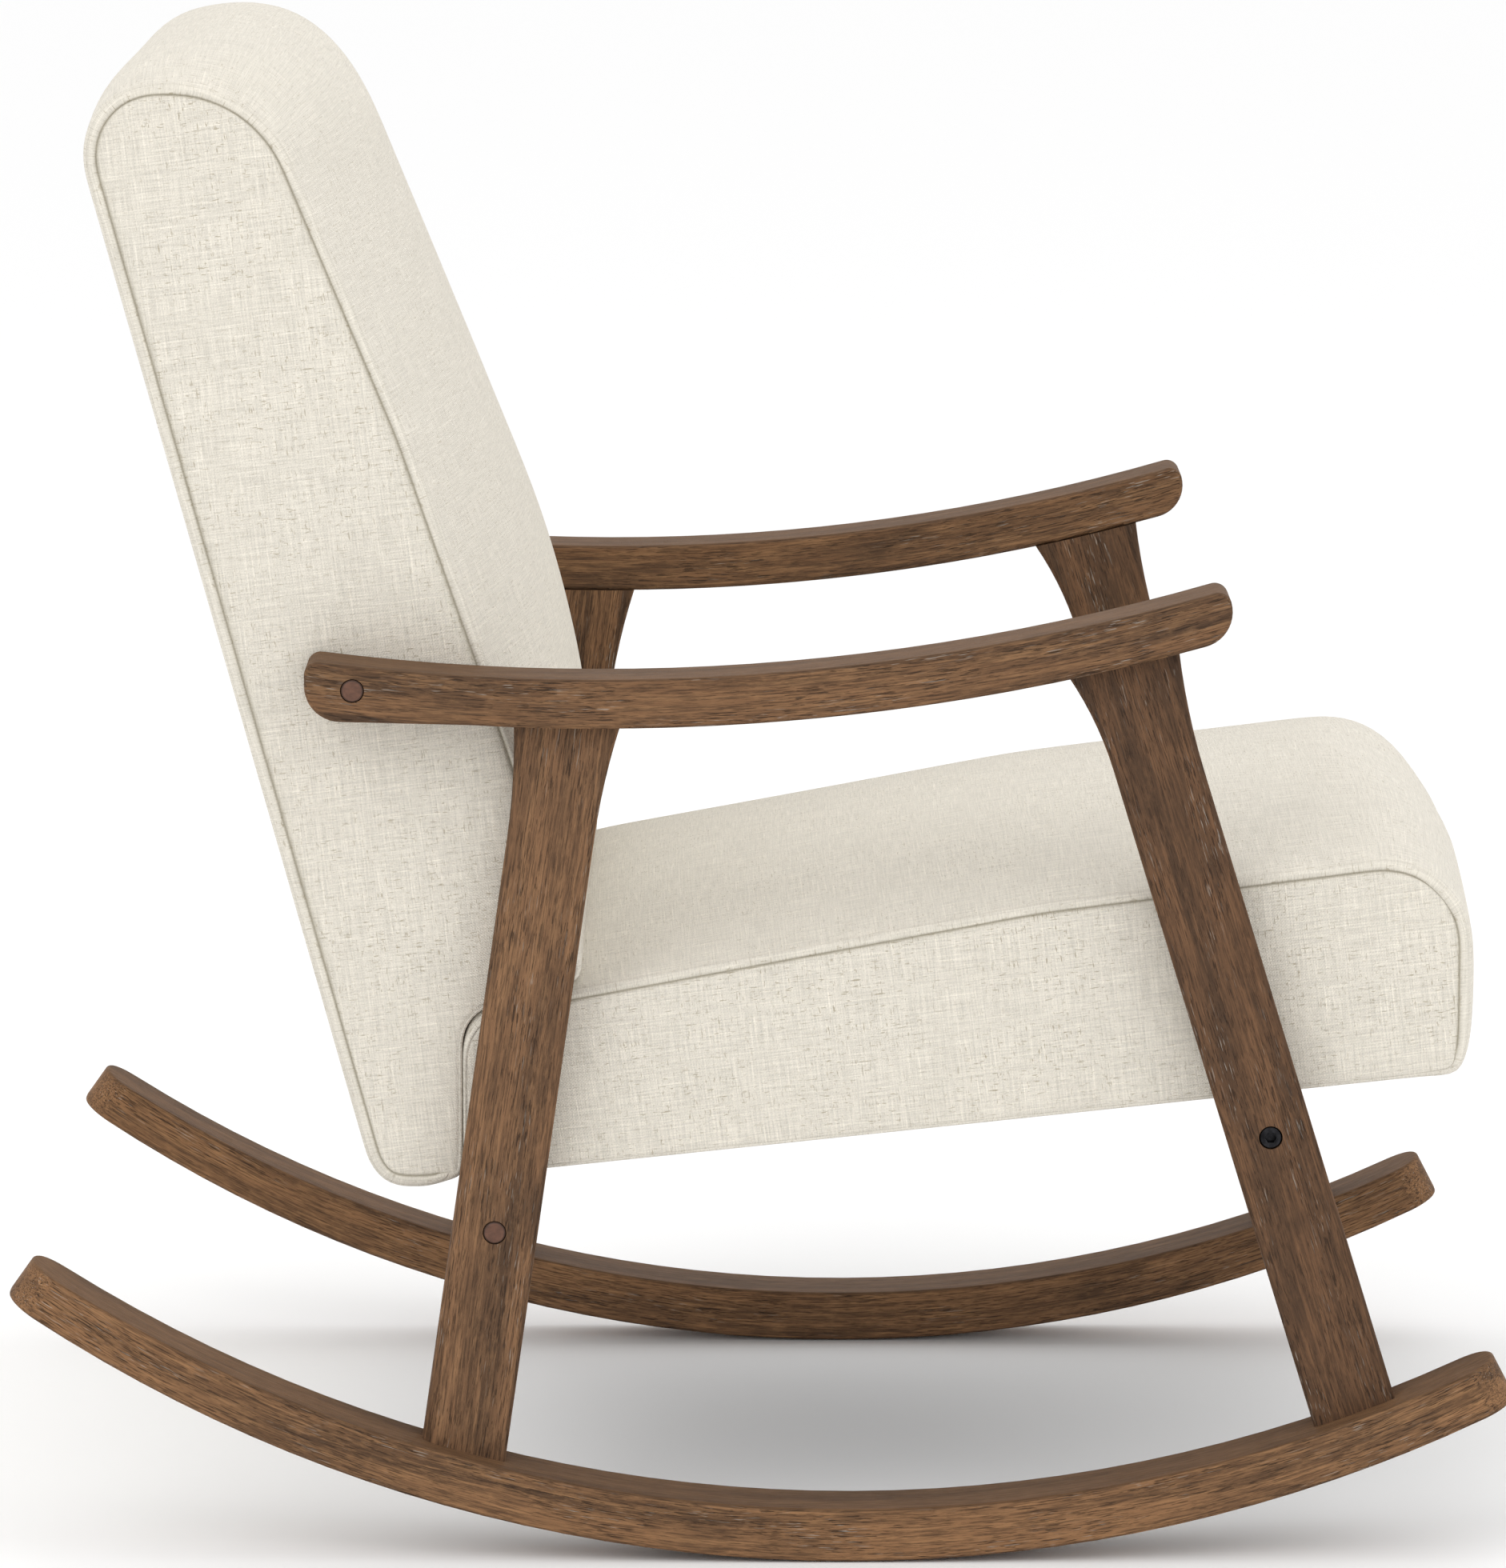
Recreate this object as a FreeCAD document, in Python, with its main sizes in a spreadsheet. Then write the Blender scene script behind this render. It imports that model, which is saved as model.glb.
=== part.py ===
import FreeCAD, Part
import math
import os
import Sketcher

# Upholstered rocking chair.  +X is the way the sitter faces, +Y is the sitter's
# left, +Z is up.  The origin is on the floor under the middle of the chair.
# All lengths are millimetres.

DIMENSIONS = [
    # rockers
    ("overall_length", 889), ("overall_width", 620), ("rocker_radius", 856),
    ("rocker_low_x", 51), ("rocker_height", 31.7), ("rocker_width", 48),
    ("rocker_nose", 20), ("edge_round", 2.5),
    # armrests
    ("arm_radius", 1314.5), ("arm_low_x", -95), ("arm_low_z", 498), ("arm_thickness", 29),
    ("arm_width", 46), ("arm_front_x", 278), ("arm_rear_x", -266), ("arm_heel_x", -170),
    ("arm_heel_z", 502.5), ("arm_heel_round", 21), ("arm_tip_round", 8),
    # legs
    ("leg_thickness", 28), ("leg_width", 50.6), ("front_bolt_x", 299), ("front_bolt_z", 252),
    ("front_leg_top_x", 222.5), ("front_leg_top_z", 500), ("rear_bolt_x", -157.5),
    ("rear_bolt_z", 195), ("rear_leg_top_x", -113.5), ("rear_leg_top_z", 500),
    ("front_leg_flare_z", 470), ("rear_leg_flare_z", 430),
    ("flare_small", 210), ("flare_large", 420), ("leg_back_round", 7),
    # joints of the legs
    ("tenon_width", 32), ("tenon_thickness", 14), ("tenon_length", 17), ("joint_gap", 0.2),
    # stretchers and their bolts
    ("stretcher_depth", 30), ("stretcher_height", 43), ("bolt_diameter", 8),
    ("head_diameter", 13), ("head_height", 8), ("key_size", 6), ("plug_diameter", 13.4),
    ("counterbore", 14), ("nut_diameter", 12),
    # seat
    ("seat_rear_x", -176), ("seat_rear_z", 222.3), ("seat_front_x", 411), ("seat_front_z", 285),
    ("seat_crest_x", 165), ("seat_crest_z", 381), ("seat_nose_z", 413), ("seat_back_z", 317),
    ("seat_crown", 30), ("seat_bow", 20), ("seat_nose_round", 45), ("band", 6),
    # back
    ("back_foot_x", -223), ("back_foot_z", 223), ("back_rake", 0.2735), ("back_top_z", 863),
    ("back_bend_x", -213), ("back_bend_z", 662), ("back_head_x", -296), ("back_toe_x", -105),
    ("back_lumbar_x", -152), ("back_lumbar_z", 485), ("back_crown", 50), ("back_toe_crown", 8),
    ("back_rise", 30), ("back_rear_round", 36), ("back_front_round", 70), ("back_pad", 30),
    # upholstery and frame timber
    ("side_gap", 0.5), ("cloth", 2), ("cushion_gap", 1.5), ("rail_height", 45),
    ("rail_thickness", 22), ("strap_width", 50), ("strap_thickness", 2),
]

doc = FreeCAD.newDocument("rocking_chair")
sheet = doc.addObject("Spreadsheet::Sheet", "dims")
for row, (alias, value) in enumerate(DIMENSIONS, 1):
    sheet.set("A%d" % row, alias)
    sheet.set("B%d" % row, str(value))
    sheet.setAlias("B%d" % row, alias)
doc.recompute()


class Size:
    """A length that carries its value and the sheet formula it comes from."""

    def __init__(self, value, formula):
        self.value = float(value)
        self.formula = formula

    def __add__(self, other):
        other = size(other)
        return Size(self.value + other.value, "(%s + %s)" % (self.formula, other.formula))

    def __sub__(self, other):
        other = size(other)
        return Size(self.value - other.value, "(%s - %s)" % (self.formula, other.formula))

    def __mul__(self, other):
        other = size(other)
        return Size(self.value * other.value, "(%s * %s)" % (self.formula, other.formula))

    def __truediv__(self, other):
        other = size(other)
        return Size(self.value / other.value, "(%s / %s)" % (self.formula, other.formula))

    def __radd__(self, other):
        return size(other) + self

    def __rsub__(self, other):
        return size(other) - self

    def __rmul__(self, other):
        return size(other) * self

    def __neg__(self):
        return Size(-self.value, "(0 - %s)" % self.formula)


def size(number):
    """Any number as a Size."""
    if isinstance(number, Size):
        return number
    text = "%.6f" % abs(number)
    return Size(number, text if number >= 0 else "(0 - %s)" % text)


def root(number):
    return Size(math.sqrt(number.value), "sqrt(%s)" % number.formula)


D = {alias: Size(value, "dims." + alias) for alias, value in DIMENSIONS}


def bind(thing, path, amount):
    """Drive a property of an object from the sheet."""
    thing.setExpression(path, size(amount).formula)


# ---------------------------------------------------------------- sketches

PLANE_ROLE = {"XZ": "XZ_Plane", "XY": "XY_Plane", "YZ": "YZ_Plane"}


def new_body(label):
    body = doc.addObject("PartDesign::Body", label)
    body.Label = label
    return body


def new_sketch(body, plane, offset):
    """A sketch on one of the body's own planes, moved along +Y, +Z or +X."""
    sketch = body.newObject("Sketcher::SketchObject", "Sketch")
    role = PLANE_ROLE[plane]
    origin = [f for f in body.Origin.OriginFeatures if f.Role == role][0]
    sketch.AttachmentSupport = (origin, "")
    sketch.MapMode = "FlatFace"
    along = -size(offset) if plane == "XZ" else size(offset)
    sketch.AttachmentOffset = FreeCAD.Placement(
        FreeCAD.Vector(0, 0, along.value), FreeCAD.Rotation())
    bind(sketch, "AttachmentOffset.Base.z", along)
    return sketch


def fix(sketch, kind, place, amount):
    """Add one dimension to a sketch and drive it from the sheet."""
    index = sketch.addConstraint(Sketcher.Constraint(kind, *place, size(amount).value))
    sketch.setExpression("Constraints[%d]" % index, size(amount).formula)


def link(sketch, kind, *place):
    sketch.addConstraint(Sketcher.Constraint(kind, *place))


def fix_point(sketch, geo, pos, x, y):
    fix(sketch, "DistanceX", (geo, pos), x)
    fix(sketch, "DistanceY", (geo, pos), y)


def vec(x, y):
    return FreeCAD.Vector(size(x).value, size(y).value, 0)


def circle(x, y, diameter):
    """Draw a circle."""
    def draw(sketch):
        geo = sketch.addGeometry(
            Part.Circle(vec(x, y), FreeCAD.Vector(0, 0, 1), size(diameter).value / 2))
        fix_point(sketch, geo, 3, x, y)
        fix(sketch, "Radius", (geo,), size(diameter) / 2)
    return draw


def hexagon(x, y, across):
    """Draw a hexagon, given its size across flats."""
    reach = size(across) / math.sqrt(3)
    steps = [(math.cos(math.radians(60 * k)), math.sin(math.radians(60 * k))) for k in range(6)]
    return polygon([(x + reach * c, y + reach * s, 0) for c, s in steps])


def polygon(corners):
    """Draw a closed outline of straight edges; each corner is (x, y, rounding)."""
    def draw(sketch):
        count = len(corners)
        pts = [vec(c[0], c[1]) for c in corners]
        radii = [size(c[2]) for c in corners]
        enter, leave, arcs, ways = [], [], [], []
        for k in range(count):
            before = (pts[k - 1] - pts[k]).normalize()
            after = (pts[(k + 1) % count] - pts[k]).normalize()
            turn = before.cross(after).z
            ways.append(turn < 0)
            half = before.getAngle(after) / 2
            reach = radii[k].value / math.tan(half)
            enter.append(pts[k] + before * reach)
            leave.append(pts[k] + after * reach)
            middle = (before + after).normalize() * (radii[k].value / math.sin(half))
            arcs.append(pts[k] + middle)
        lines = []
        for k in range(count):
            line = Part.LineSegment(leave[k], enter[(k + 1) % count])
            lines.append(sketch.addGeometry(line))
        for k in range(count):
            last, here = lines[k - 1], lines[k]
            if radii[k].value == 0:
                link(sketch, "Coincident", last, 2, here, 1)
                fix_point(sketch, here, 1, corners[k][0], corners[k][1])
                continue
            ends = (enter[k], leave[k]) if ways[k] else (leave[k], enter[k])
            angles = [math.atan2(p.y - arcs[k].y, p.x - arcs[k].x) for p in ends]
            if angles[1] < angles[0]:
                angles[1] += 2 * math.pi
            round_edge = Part.Circle(arcs[k], FreeCAD.Vector(0, 0, 1), radii[k].value)
            arc = sketch.addGeometry(Part.ArcOfCircle(round_edge, *angles))
            first, second = (1, 2) if ways[k] else (2, 1)
            link(sketch, "Tangent", last, 2, arc, first)
            link(sketch, "Tangent", arc, second, here, 1)
            fix(sketch, "Radius", (arc,), radii[k])
            corner = sketch.addGeometry(Part.Point(pts[k]), True)
            link(sketch, "PointOnObject", corner, 1, last)
            link(sketch, "PointOnObject", corner, 1, here)
            fix_point(sketch, corner, 1, corners[k][0], corners[k][1])
    return draw


def add_arc(sketch, centre, radius, start, end):
    """An arc about a fixed centre, drawn anticlockwise from start to end."""
    middle = vec(*centre)
    angles = [math.atan2(p.y - middle.y, p.x - middle.x) for p in (start, end)]
    if angles[1] < angles[0]:
        angles[1] += 2 * math.pi
    base = Part.Circle(middle, FreeCAD.Vector(0, 0, 1), size(radius).value)
    geo = sketch.addGeometry(Part.ArcOfCircle(base, *angles))
    fix_point(sketch, geo, 3, *centre)
    fix(sketch, "Radius", (geo,), radius)
    return geo


def on_circle(centre, radius, x):
    """The lower point of a circle at x."""
    middle = vec(*centre)
    reach = size(radius).value
    x = size(x).value
    return FreeCAD.Vector(x, middle.y - math.sqrt(reach ** 2 - (x - middle.x) ** 2), 0)


def toward(centre, radius, point):
    """The point at a radius from the centre, on the ray through another point."""
    middle = vec(*centre)
    return middle + (point - middle).normalize() * size(radius).value


def meet(centre, radius, point, direction):
    """Where a line meets the lower half of a circle."""
    middle = vec(*centre)
    way = FreeCAD.Vector(direction).normalize()
    gap = point - middle
    b = gap.dot(way)
    c = gap.dot(gap) - size(radius).value ** 2
    reaches = [-b - math.sqrt(b * b - c), -b + math.sqrt(b * b - c)]
    hits = [point + way * r for r in reaches]
    return min(hits, key=lambda p: p.y)


# ---------------------------------------------------------------- features

def prism(body, draw, start, end, plane="XZ", cut=False):
    """Extrude an outline between two positions along +Y, +Z or +X."""
    sketch = new_sketch(body, plane, start)
    draw(sketch)
    kind = "PartDesign::Pocket" if cut else "PartDesign::Pad"
    feature = body.newObject(kind, "Pocket" if cut else "Pad")
    feature.Profile = sketch
    forward = plane != "XZ"
    feature.Reversed = forward if cut else not forward
    feature.Length = (size(end) - start).value
    bind(feature, "Length", size(end) - start)
    sketch.Visibility = False
    doc.recompute()
    return feature


def ease(body, radius, choose):
    """Round the edges that a test picks."""
    base = body.Tip
    names = ["Edge%d" % (k + 1) for k, edge in enumerate(base.Shape.Edges) if choose(edge)]
    fillet = body.newObject("PartDesign::Fillet", "Fillet")
    fillet.Base = (base, names)
    fillet.Radius = size(radius).value
    bind(fillet, "Radius", radius)
    doc.recompute()
    return fillet


def heading(edge):
    """Unit direction from one end of an edge to the other."""
    ends = edge.Vertexes
    if len(ends) < 2:
        return FreeCAD.Vector(0, 0, 0)
    way = ends[1].Point - ends[0].Point
    return way.normalize() if way.Length > 1e-9 else FreeCAD.Vector(0, 0, 0)


def is_line(edge):
    return isinstance(edge.Curve, (Part.Line, Part.LineSegment))


def across(edge):
    """True for a straight edge that runs along Y."""
    return is_line(edge) and abs(heading(edge).y) > 0.99


def middle_of(edge):
    return edge.valueAt((edge.FirstParameter + edge.LastParameter) / 2)


def span(side, near, far):
    """A range of distances from the middle plane, on the left (1) or right (-1) side."""
    return (size(near), size(far)) if side > 0 else (-size(far), -size(near))


# ---------------------------------------------------------------- shared positions

half_length = D["overall_length"] / 2
half_width = D["overall_width"] / 2
rocker_centre = (D["rocker_low_x"], D["rocker_radius"])
rocker_top_centre = (D["rocker_low_x"], D["rocker_radius"] + D["rocker_height"])
arm_centre = (D["arm_low_x"], D["arm_low_z"] + D["arm_radius"])
arm_top_radius = D["arm_radius"] - D["arm_thickness"]
leg_inner = half_width - D["arm_width"]
leg_outer = leg_inner + D["leg_thickness"]
leg_middle = leg_inner + D["leg_thickness"] / 2
rocker_inner = half_width - D["rocker_width"]
seat_half = leg_inner - D["side_gap"]
band_half = seat_half - D["cloth"]
SIDES = (("left", 1), ("right", -1))
front_axis = (D["front_bolt_x"], D["front_bolt_z"], D["front_leg_top_x"], D["front_leg_top_z"])
rear_axis = (D["rear_bolt_x"], D["rear_bolt_z"], D["rear_leg_top_x"], D["rear_leg_top_z"])


# ---------------------------------------------------------------- side frames

def rocker_outline(sketch):
    """Lens of two equal arcs; the end faces point at the lower arc's centre."""
    low_rear = on_circle(rocker_centre, D["rocker_radius"], -half_length)
    low_front = on_circle(rocker_centre, D["rocker_radius"], half_length)
    middle = vec(*rocker_centre)
    top_rear = meet(rocker_top_centre, D["rocker_radius"], low_rear, middle - low_rear)
    top_front = meet(rocker_top_centre, D["rocker_radius"], low_front, middle - low_front)
    low = add_arc(sketch, rocker_centre, D["rocker_radius"], low_rear, low_front)
    top = add_arc(sketch, rocker_top_centre, D["rocker_radius"], top_rear, top_front)
    rear = sketch.addGeometry(Part.LineSegment(top_rear, low_rear))
    front = sketch.addGeometry(Part.LineSegment(low_front, top_front))
    link(sketch, "Coincident", low, 1, rear, 2)
    link(sketch, "Coincident", low, 2, front, 1)
    link(sketch, "Coincident", top, 1, rear, 1)
    link(sketch, "Coincident", top, 2, front, 2)
    link(sketch, "PointOnObject", low, 3, rear)
    link(sketch, "PointOnObject", low, 3, front)
    fix(sketch, "DistanceX", (low, 1), -half_length)
    fix(sketch, "DistanceX", (low, 2), half_length)


def arm_outline(sketch):
    """Two arcs about one centre, with a flatter heel under the rear end."""
    heel = vec(D["arm_rear_x"], D["arm_heel_z"])
    heel_start = on_circle(arm_centre, D["arm_radius"], D["arm_heel_x"])
    low_front = on_circle(arm_centre, D["arm_radius"], D["arm_front_x"])
    top_front = toward(arm_centre, arm_top_radius, low_front)
    top_rear = on_circle(arm_centre, arm_top_radius, D["arm_rear_x"])
    low = add_arc(sketch, arm_centre, D["arm_radius"], heel_start, low_front)
    top = add_arc(sketch, arm_centre, arm_top_radius, top_rear, top_front)
    front = sketch.addGeometry(Part.LineSegment(low_front, top_front))
    rear = sketch.addGeometry(Part.LineSegment(top_rear, heel))
    base = sketch.addGeometry(Part.LineSegment(heel, heel_start))
    link(sketch, "Coincident", low, 2, front, 1)
    link(sketch, "Coincident", front, 2, top, 2)
    link(sketch, "Coincident", top, 1, rear, 1)
    link(sketch, "Coincident", rear, 2, base, 1)
    link(sketch, "Coincident", base, 2, low, 1)
    link(sketch, "PointOnObject", low, 3, front)
    link(sketch, "Vertical", rear)
    fix_point(sketch, base, 1, D["arm_rear_x"], D["arm_heel_z"])
    fix(sketch, "DistanceX", (low, 2), D["arm_front_x"])
    fix(sketch, "DistanceX", (low, 1), D["arm_heel_x"])


def add_axis(sketch, axis):
    """The leg's own centre line, for reference."""
    line = Part.LineSegment(vec(axis[0], axis[1]), vec(axis[2], axis[3]))
    geo = sketch.addGeometry(line, True)
    fix_point(sketch, geo, 1, axis[0], axis[1])
    fix_point(sketch, geo, 2, axis[2], axis[3])
    return geo


def leg_outline(axis, flare_z, rear_flare, front_flare):
    """A straight leg that flares where it meets the armrest."""
    def draw(sketch):
        low_point, top_point = vec(axis[0], axis[1]), vec(axis[2], axis[3])
        way = (top_point - low_point).normalize()
        side = FreeCAD.Vector(way.y, -way.x, 0)
        half = D["leg_width"] / 2
        axis_geo = add_axis(sketch, axis)
        foot, start, tip, edges, flares = [], [], [], [], []
        for sign, bend in ((-1, size(rear_flare)), (1, size(front_flare))):
            base = low_point + side * (sign * half.value)
            foot.append(meet(rocker_top_centre, D["rocker_radius"], base, way))
            rise = (size(flare_z).value - base.y) / way.y
            start.append(base + way * rise)
            centre = start[-1] + side * (sign * bend.value)
            tip.append(_flare_tip(centre, bend.value, sign, start[-1]))
            ends = (tip[-1], start[-1]) if sign > 0 else (start[-1], tip[-1])
            angles = [math.atan2(p.y - centre.y, p.x - centre.x) for p in ends]
            if sign < 0:
                angles = [a + 2 * math.pi if a < 0 else a for a in angles]
            if angles[1] < angles[0]:
                angles[1] += 2 * math.pi
            edges.append(sketch.addGeometry(Part.LineSegment(foot[-1], start[-1])))
            bow = Part.Circle(centre, FreeCAD.Vector(0, 0, 1), bend.value)
            flares.append(sketch.addGeometry(Part.ArcOfCircle(bow, *angles)))
        for k, (sign, bend) in enumerate(((-1, rear_flare), (1, front_flare))):
            joint, end = (2, 1) if sign > 0 else (1, 2)
            link(sketch, "Tangent", edges[k], 2, flares[k], joint)
            link(sketch, "Parallel", edges[k], axis_geo)
            fix(sketch, "Distance", (edges[k], 1, axis_geo), half)
            fix(sketch, "DistanceY", (edges[k], 2), flare_z)
            fix(sketch, "Radius", (flares[k],), bend)
        foot_arc = add_arc(sketch, rocker_top_centre, D["rocker_radius"], foot[0], foot[1])
        head_arc = add_arc(sketch, arm_centre, D["arm_radius"], tip[0], tip[1])
        for k in (0, 1):
            end = 1 if k == 1 else 2
            link(sketch, "Coincident", foot_arc, k + 1, edges[k], 1)
            link(sketch, "Coincident", head_arc, k + 1, flares[k], end)
    return draw


def _flare_tip(centre, bend, sign, start):
    """Where a flare circle meets the underside of the armrest."""
    ax, ay = (q.value for q in arm_centre)
    low, high = start.y, arm_centre[1].value - D["arm_radius"].value + 80
    for _ in range(80):
        mid = (low + high) / 2
        reach = math.sqrt(max(bend ** 2 - (mid - centre.y) ** 2, 0))
        x = centre.x - sign * reach
        if math.hypot(x - ax, mid - ay) > D["arm_radius"].value:
            low = mid
        else:
            high = mid
    return FreeCAD.Vector(x, mid, 0)


def tongue(axis, centre, tip_radius, base_radius, width):
    """A block along a leg's axis, ended by two arcs about one centre."""
    def draw(sketch):
        low_point, top_point = vec(axis[0], axis[1]), vec(axis[2], axis[3])
        way = (top_point - low_point).normalize()
        side = FreeCAD.Vector(way.y, -way.x, 0)
        half = size(width) / 2
        axis_geo = add_axis(sketch, axis)
        radii = sorted([size(tip_radius), size(base_radius)], key=lambda r: -r.value)
        rows = []
        for radius in radii:
            rows.append([meet(centre, radius, low_point + side * (sign * half.value), way)
                         for sign in (-1, 1)])
        low = add_arc(sketch, centre, radii[0], rows[0][0], rows[0][1])
        top = add_arc(sketch, centre, radii[1], rows[1][0], rows[1][1])
        for k in (0, 1):
            edge = sketch.addGeometry(Part.LineSegment(rows[0][k], rows[1][k]))
            link(sketch, "Coincident", edge, 1, low, k + 1)
            link(sketch, "Coincident", edge, 2, top, k + 1)
            link(sketch, "Parallel", edge, axis_geo)
            fix(sketch, "Distance", (edge, 1, axis_geo), half)
    return draw


def mortise(body, side, axis, centre, tip_radius, base_radius):
    gap = D["joint_gap"]
    half = D["tenon_thickness"] / 2 + gap
    draw = tongue(axis, centre, tip_radius, base_radius, D["tenon_width"] + gap * 2)
    prism(body, draw, *span(side, leg_middle - half, leg_middle + half), cut=True)


def long_edge(edge):
    return not across(edge) and edge.Length > 100


def make_rocker(name, side):
    body = new_body("rocker_" + name)
    prism(body, rocker_outline, *span(side, rocker_inner, half_width))
    ease(body, D["rocker_nose"], lambda e: is_line(e) and abs(heading(e).y) < 0.01)
    ease(body, D["edge_round"], lambda e: e.Length > 300)
    deep = D["rocker_radius"] + D["tenon_length"] + 1
    for axis in (front_axis, rear_axis):
        mortise(body, side, axis, rocker_top_centre, deep, D["rocker_radius"] - 8)
    return body


def make_arm(name, side):
    body = new_body("armrest_" + name)
    prism(body, arm_outline, *span(side, leg_inner, half_width))
    front = D["arm_front_x"].value - 40
    rear = D["arm_rear_x"].value + 20
    low = D["arm_low_z"].value
    ease(body, D["arm_heel_round"], lambda e: across(e) and (
        (middle_of(e).x < rear and middle_of(e).z < low + 15)
        or (middle_of(e).x > front and middle_of(e).z < low + 55)))
    ease(body, D["arm_tip_round"], lambda e: across(e) and (
        (middle_of(e).x < rear and middle_of(e).z > low + 25)
        or (middle_of(e).x > front and middle_of(e).z > low + 55)))
    ease(body, D["edge_round"], lambda e: e.Length > 300)
    high = D["arm_radius"] - D["tenon_length"] - 1
    for axis in (front_axis, rear_axis):
        mortise(body, side, axis, arm_centre, D["arm_radius"] + 8, high)
    hole = span(side, leg_inner - 1, half_width + 1)
    prism(body, circle(*arm_bolt, D["bolt_diameter"] + 0.6), *hole, cut=True)
    prism(body, circle(*arm_bolt, D["counterbore"]),
          *span(side, arm_seat, half_width + 1), cut=True)
    return body


def make_leg(name, side, place, axis, flare_z, rear_flare, front_flare, bore):
    body = new_body("%s_leg_%s" % (place, name))
    prism(body, leg_outline(axis, flare_z, rear_flare, front_flare),
          *span(side, leg_inner, leg_outer))
    outer = side * leg_outer.value

    def back_outer(edge):
        spot = middle_of(edge)
        return abs(spot.y - outer) < 0.01 and spot.x < _axis_x(axis, spot.z)

    if place == "rear":
        ease(body, D["leg_back_round"], lambda e: long_edge(e) and is_line(e) and back_outer(e))
        ease(body, D["edge_round"], lambda e: (
            long_edge(e) and is_line(e) and _flat_side(e) and not _near_face(e, outer, axis)))
    else:
        ease(body, D["edge_round"], lambda e: long_edge(e) and is_line(e))
    half = D["tenon_thickness"] / 2
    tenon = span(side, leg_middle - half, leg_middle + half)
    low_tip = D["rocker_radius"] + D["tenon_length"]
    prism(body, tongue(axis, rocker_top_centre, low_tip, D["rocker_radius"] - 8,
                       D["tenon_width"]), *tenon)
    high_tip = D["arm_radius"] - D["tenon_length"]
    prism(body, tongue(axis, arm_centre, D["arm_radius"] + 8, high_tip,
                       D["tenon_width"]), *tenon)
    hole = span(side, leg_inner - 1, leg_outer + 1)
    prism(body, circle(axis[0], axis[1], D["bolt_diameter"] + 0.6), *hole, cut=True)
    prism(body, circle(axis[0], axis[1], D["counterbore"]),
          *span(side, leg_outer - bore, leg_outer + 1), cut=True)
    return body


def _axis_x(axis, z):
    low, high = vec(axis[0], axis[1]), vec(axis[2], axis[3])
    return low.x + (z - low.y) * (high.x - low.x) / (high.y - low.y)


def _flat_side(edge):
    """True for an edge that lies in one of the leg's two side faces."""
    return abs(heading(edge).y) < 0.001


def _near_face(edge, outer, axis):
    """True for the edges left by the large rounding at the outer rear corner."""
    spot = middle_of(edge)
    behind = spot.x < _axis_x(axis, spot.z)
    return behind and abs(abs(spot.y) - abs(outer)) < D["leg_back_round"].value + 1


arm_bolt = (D["arm_rear_x"] + 28, D["arm_low_z"] + 22.5)
arm_seat = leg_inner + 22
FRONT_BORE = D["head_height"] + 0.8
REAR_BORE = D["head_height"] + 6

nodes = []
for name, side in SIDES:
    nodes.append(make_rocker(name, side))
    nodes.append(make_arm(name, side))
    nodes.append(make_leg(name, side, "front", front_axis, D["front_leg_flare_z"],
                          D["flare_small"], D["flare_large"], FRONT_BORE))
    nodes.append(make_leg(name, side, "rear", rear_axis, D["rear_leg_flare_z"],
                          D["flare_large"], D["flare_large"], REAR_BORE))

# ---------------------------------------------------------------- seat coordinates
# u runs forward along the underside of the seat, v is square to it.

seat_run = D["seat_front_x"] - D["seat_rear_x"]
seat_rise = D["seat_front_z"] - D["seat_rear_z"]
seat_length = root(seat_run * seat_run + seat_rise * seat_rise)
COS = seat_run / seat_length
SIN = seat_rise / seat_length
TILT = "atan(%s)" % (seat_rise / seat_run).formula
TILT_VALUE = math.degrees(math.atan2(seat_rise.value, seat_run.value))


def seat_point(u, v):
    """World x and z of a place given along and above the seat's underside."""
    u, v = size(u), size(v)
    return (D["seat_rear_x"] + u * COS - v * SIN, D["seat_rear_z"] + u * SIN + v * COS)


def seat_along(x, z):
    """How far along and above the seat's underside a world place is."""
    dx = size(x) - D["seat_rear_x"]
    dz = size(z) - D["seat_rear_z"]
    return (dx * COS + dz * SIN, dz * COS - dx * SIN)


def place(thing, x, y, z, tilted=True):
    """Put a primitive at a point, leaning with the seat or upright."""
    if tilted:
        turn = FreeCAD.Rotation(FreeCAD.Vector(0, -1, 0), TILT_VALUE)
    else:
        turn = thing.Placement.Rotation
    thing.Placement = FreeCAD.Placement(
        FreeCAD.Vector(size(x).value, size(y).value, size(z).value), turn)
    if tilted:
        thing.setExpression("Placement.Rotation.Angle", TILT)
    bind(thing, "Placement.Base.x", x)
    bind(thing, "Placement.Base.y", y)
    bind(thing, "Placement.Base.z", z)
    return thing


def seat_box(label, us, ys, vs):
    """A block square to the seat's underside."""
    box = doc.addObject("Part::Box", label)
    box.Label = label
    for path, (low, high) in (("Length", us), ("Width", ys), ("Height", vs)):
        setattr(box, path, (size(high) - low).value)
        bind(box, path, size(high) - low)
    x, z = seat_point(us[0], vs[0])
    return place(box, x, ys[0], z)


def seat_pin(label, u, y, vs, diameter):
    """A round bar square to the seat's underside."""
    pin = doc.addObject("Part::Cylinder", label)
    pin.Radius = size(diameter).value / 2
    bind(pin, "Radius", size(diameter) / 2)
    pin.Height = (size(vs[1]) - vs[0]).value
    bind(pin, "Height", size(vs[1]) - vs[0])
    x, z = seat_point(u, vs[0])
    return place(pin, x, y, z)


def side_pin(label, x, z, ys, diameter):
    """A round bar along Y."""
    pin = doc.addObject("Part::Cylinder", label)
    pin.Radius = size(diameter).value / 2
    bind(pin, "Radius", size(diameter) / 2)
    pin.Height = (size(ys[1]) - ys[0]).value
    bind(pin, "Height", size(ys[1]) - ys[0])
    pin.Placement = FreeCAD.Placement(
        FreeCAD.Vector(), FreeCAD.Rotation(FreeCAD.Vector(1, 0, 0), -90))
    return place(pin, x, ys[0], z, tilted=False)


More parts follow.
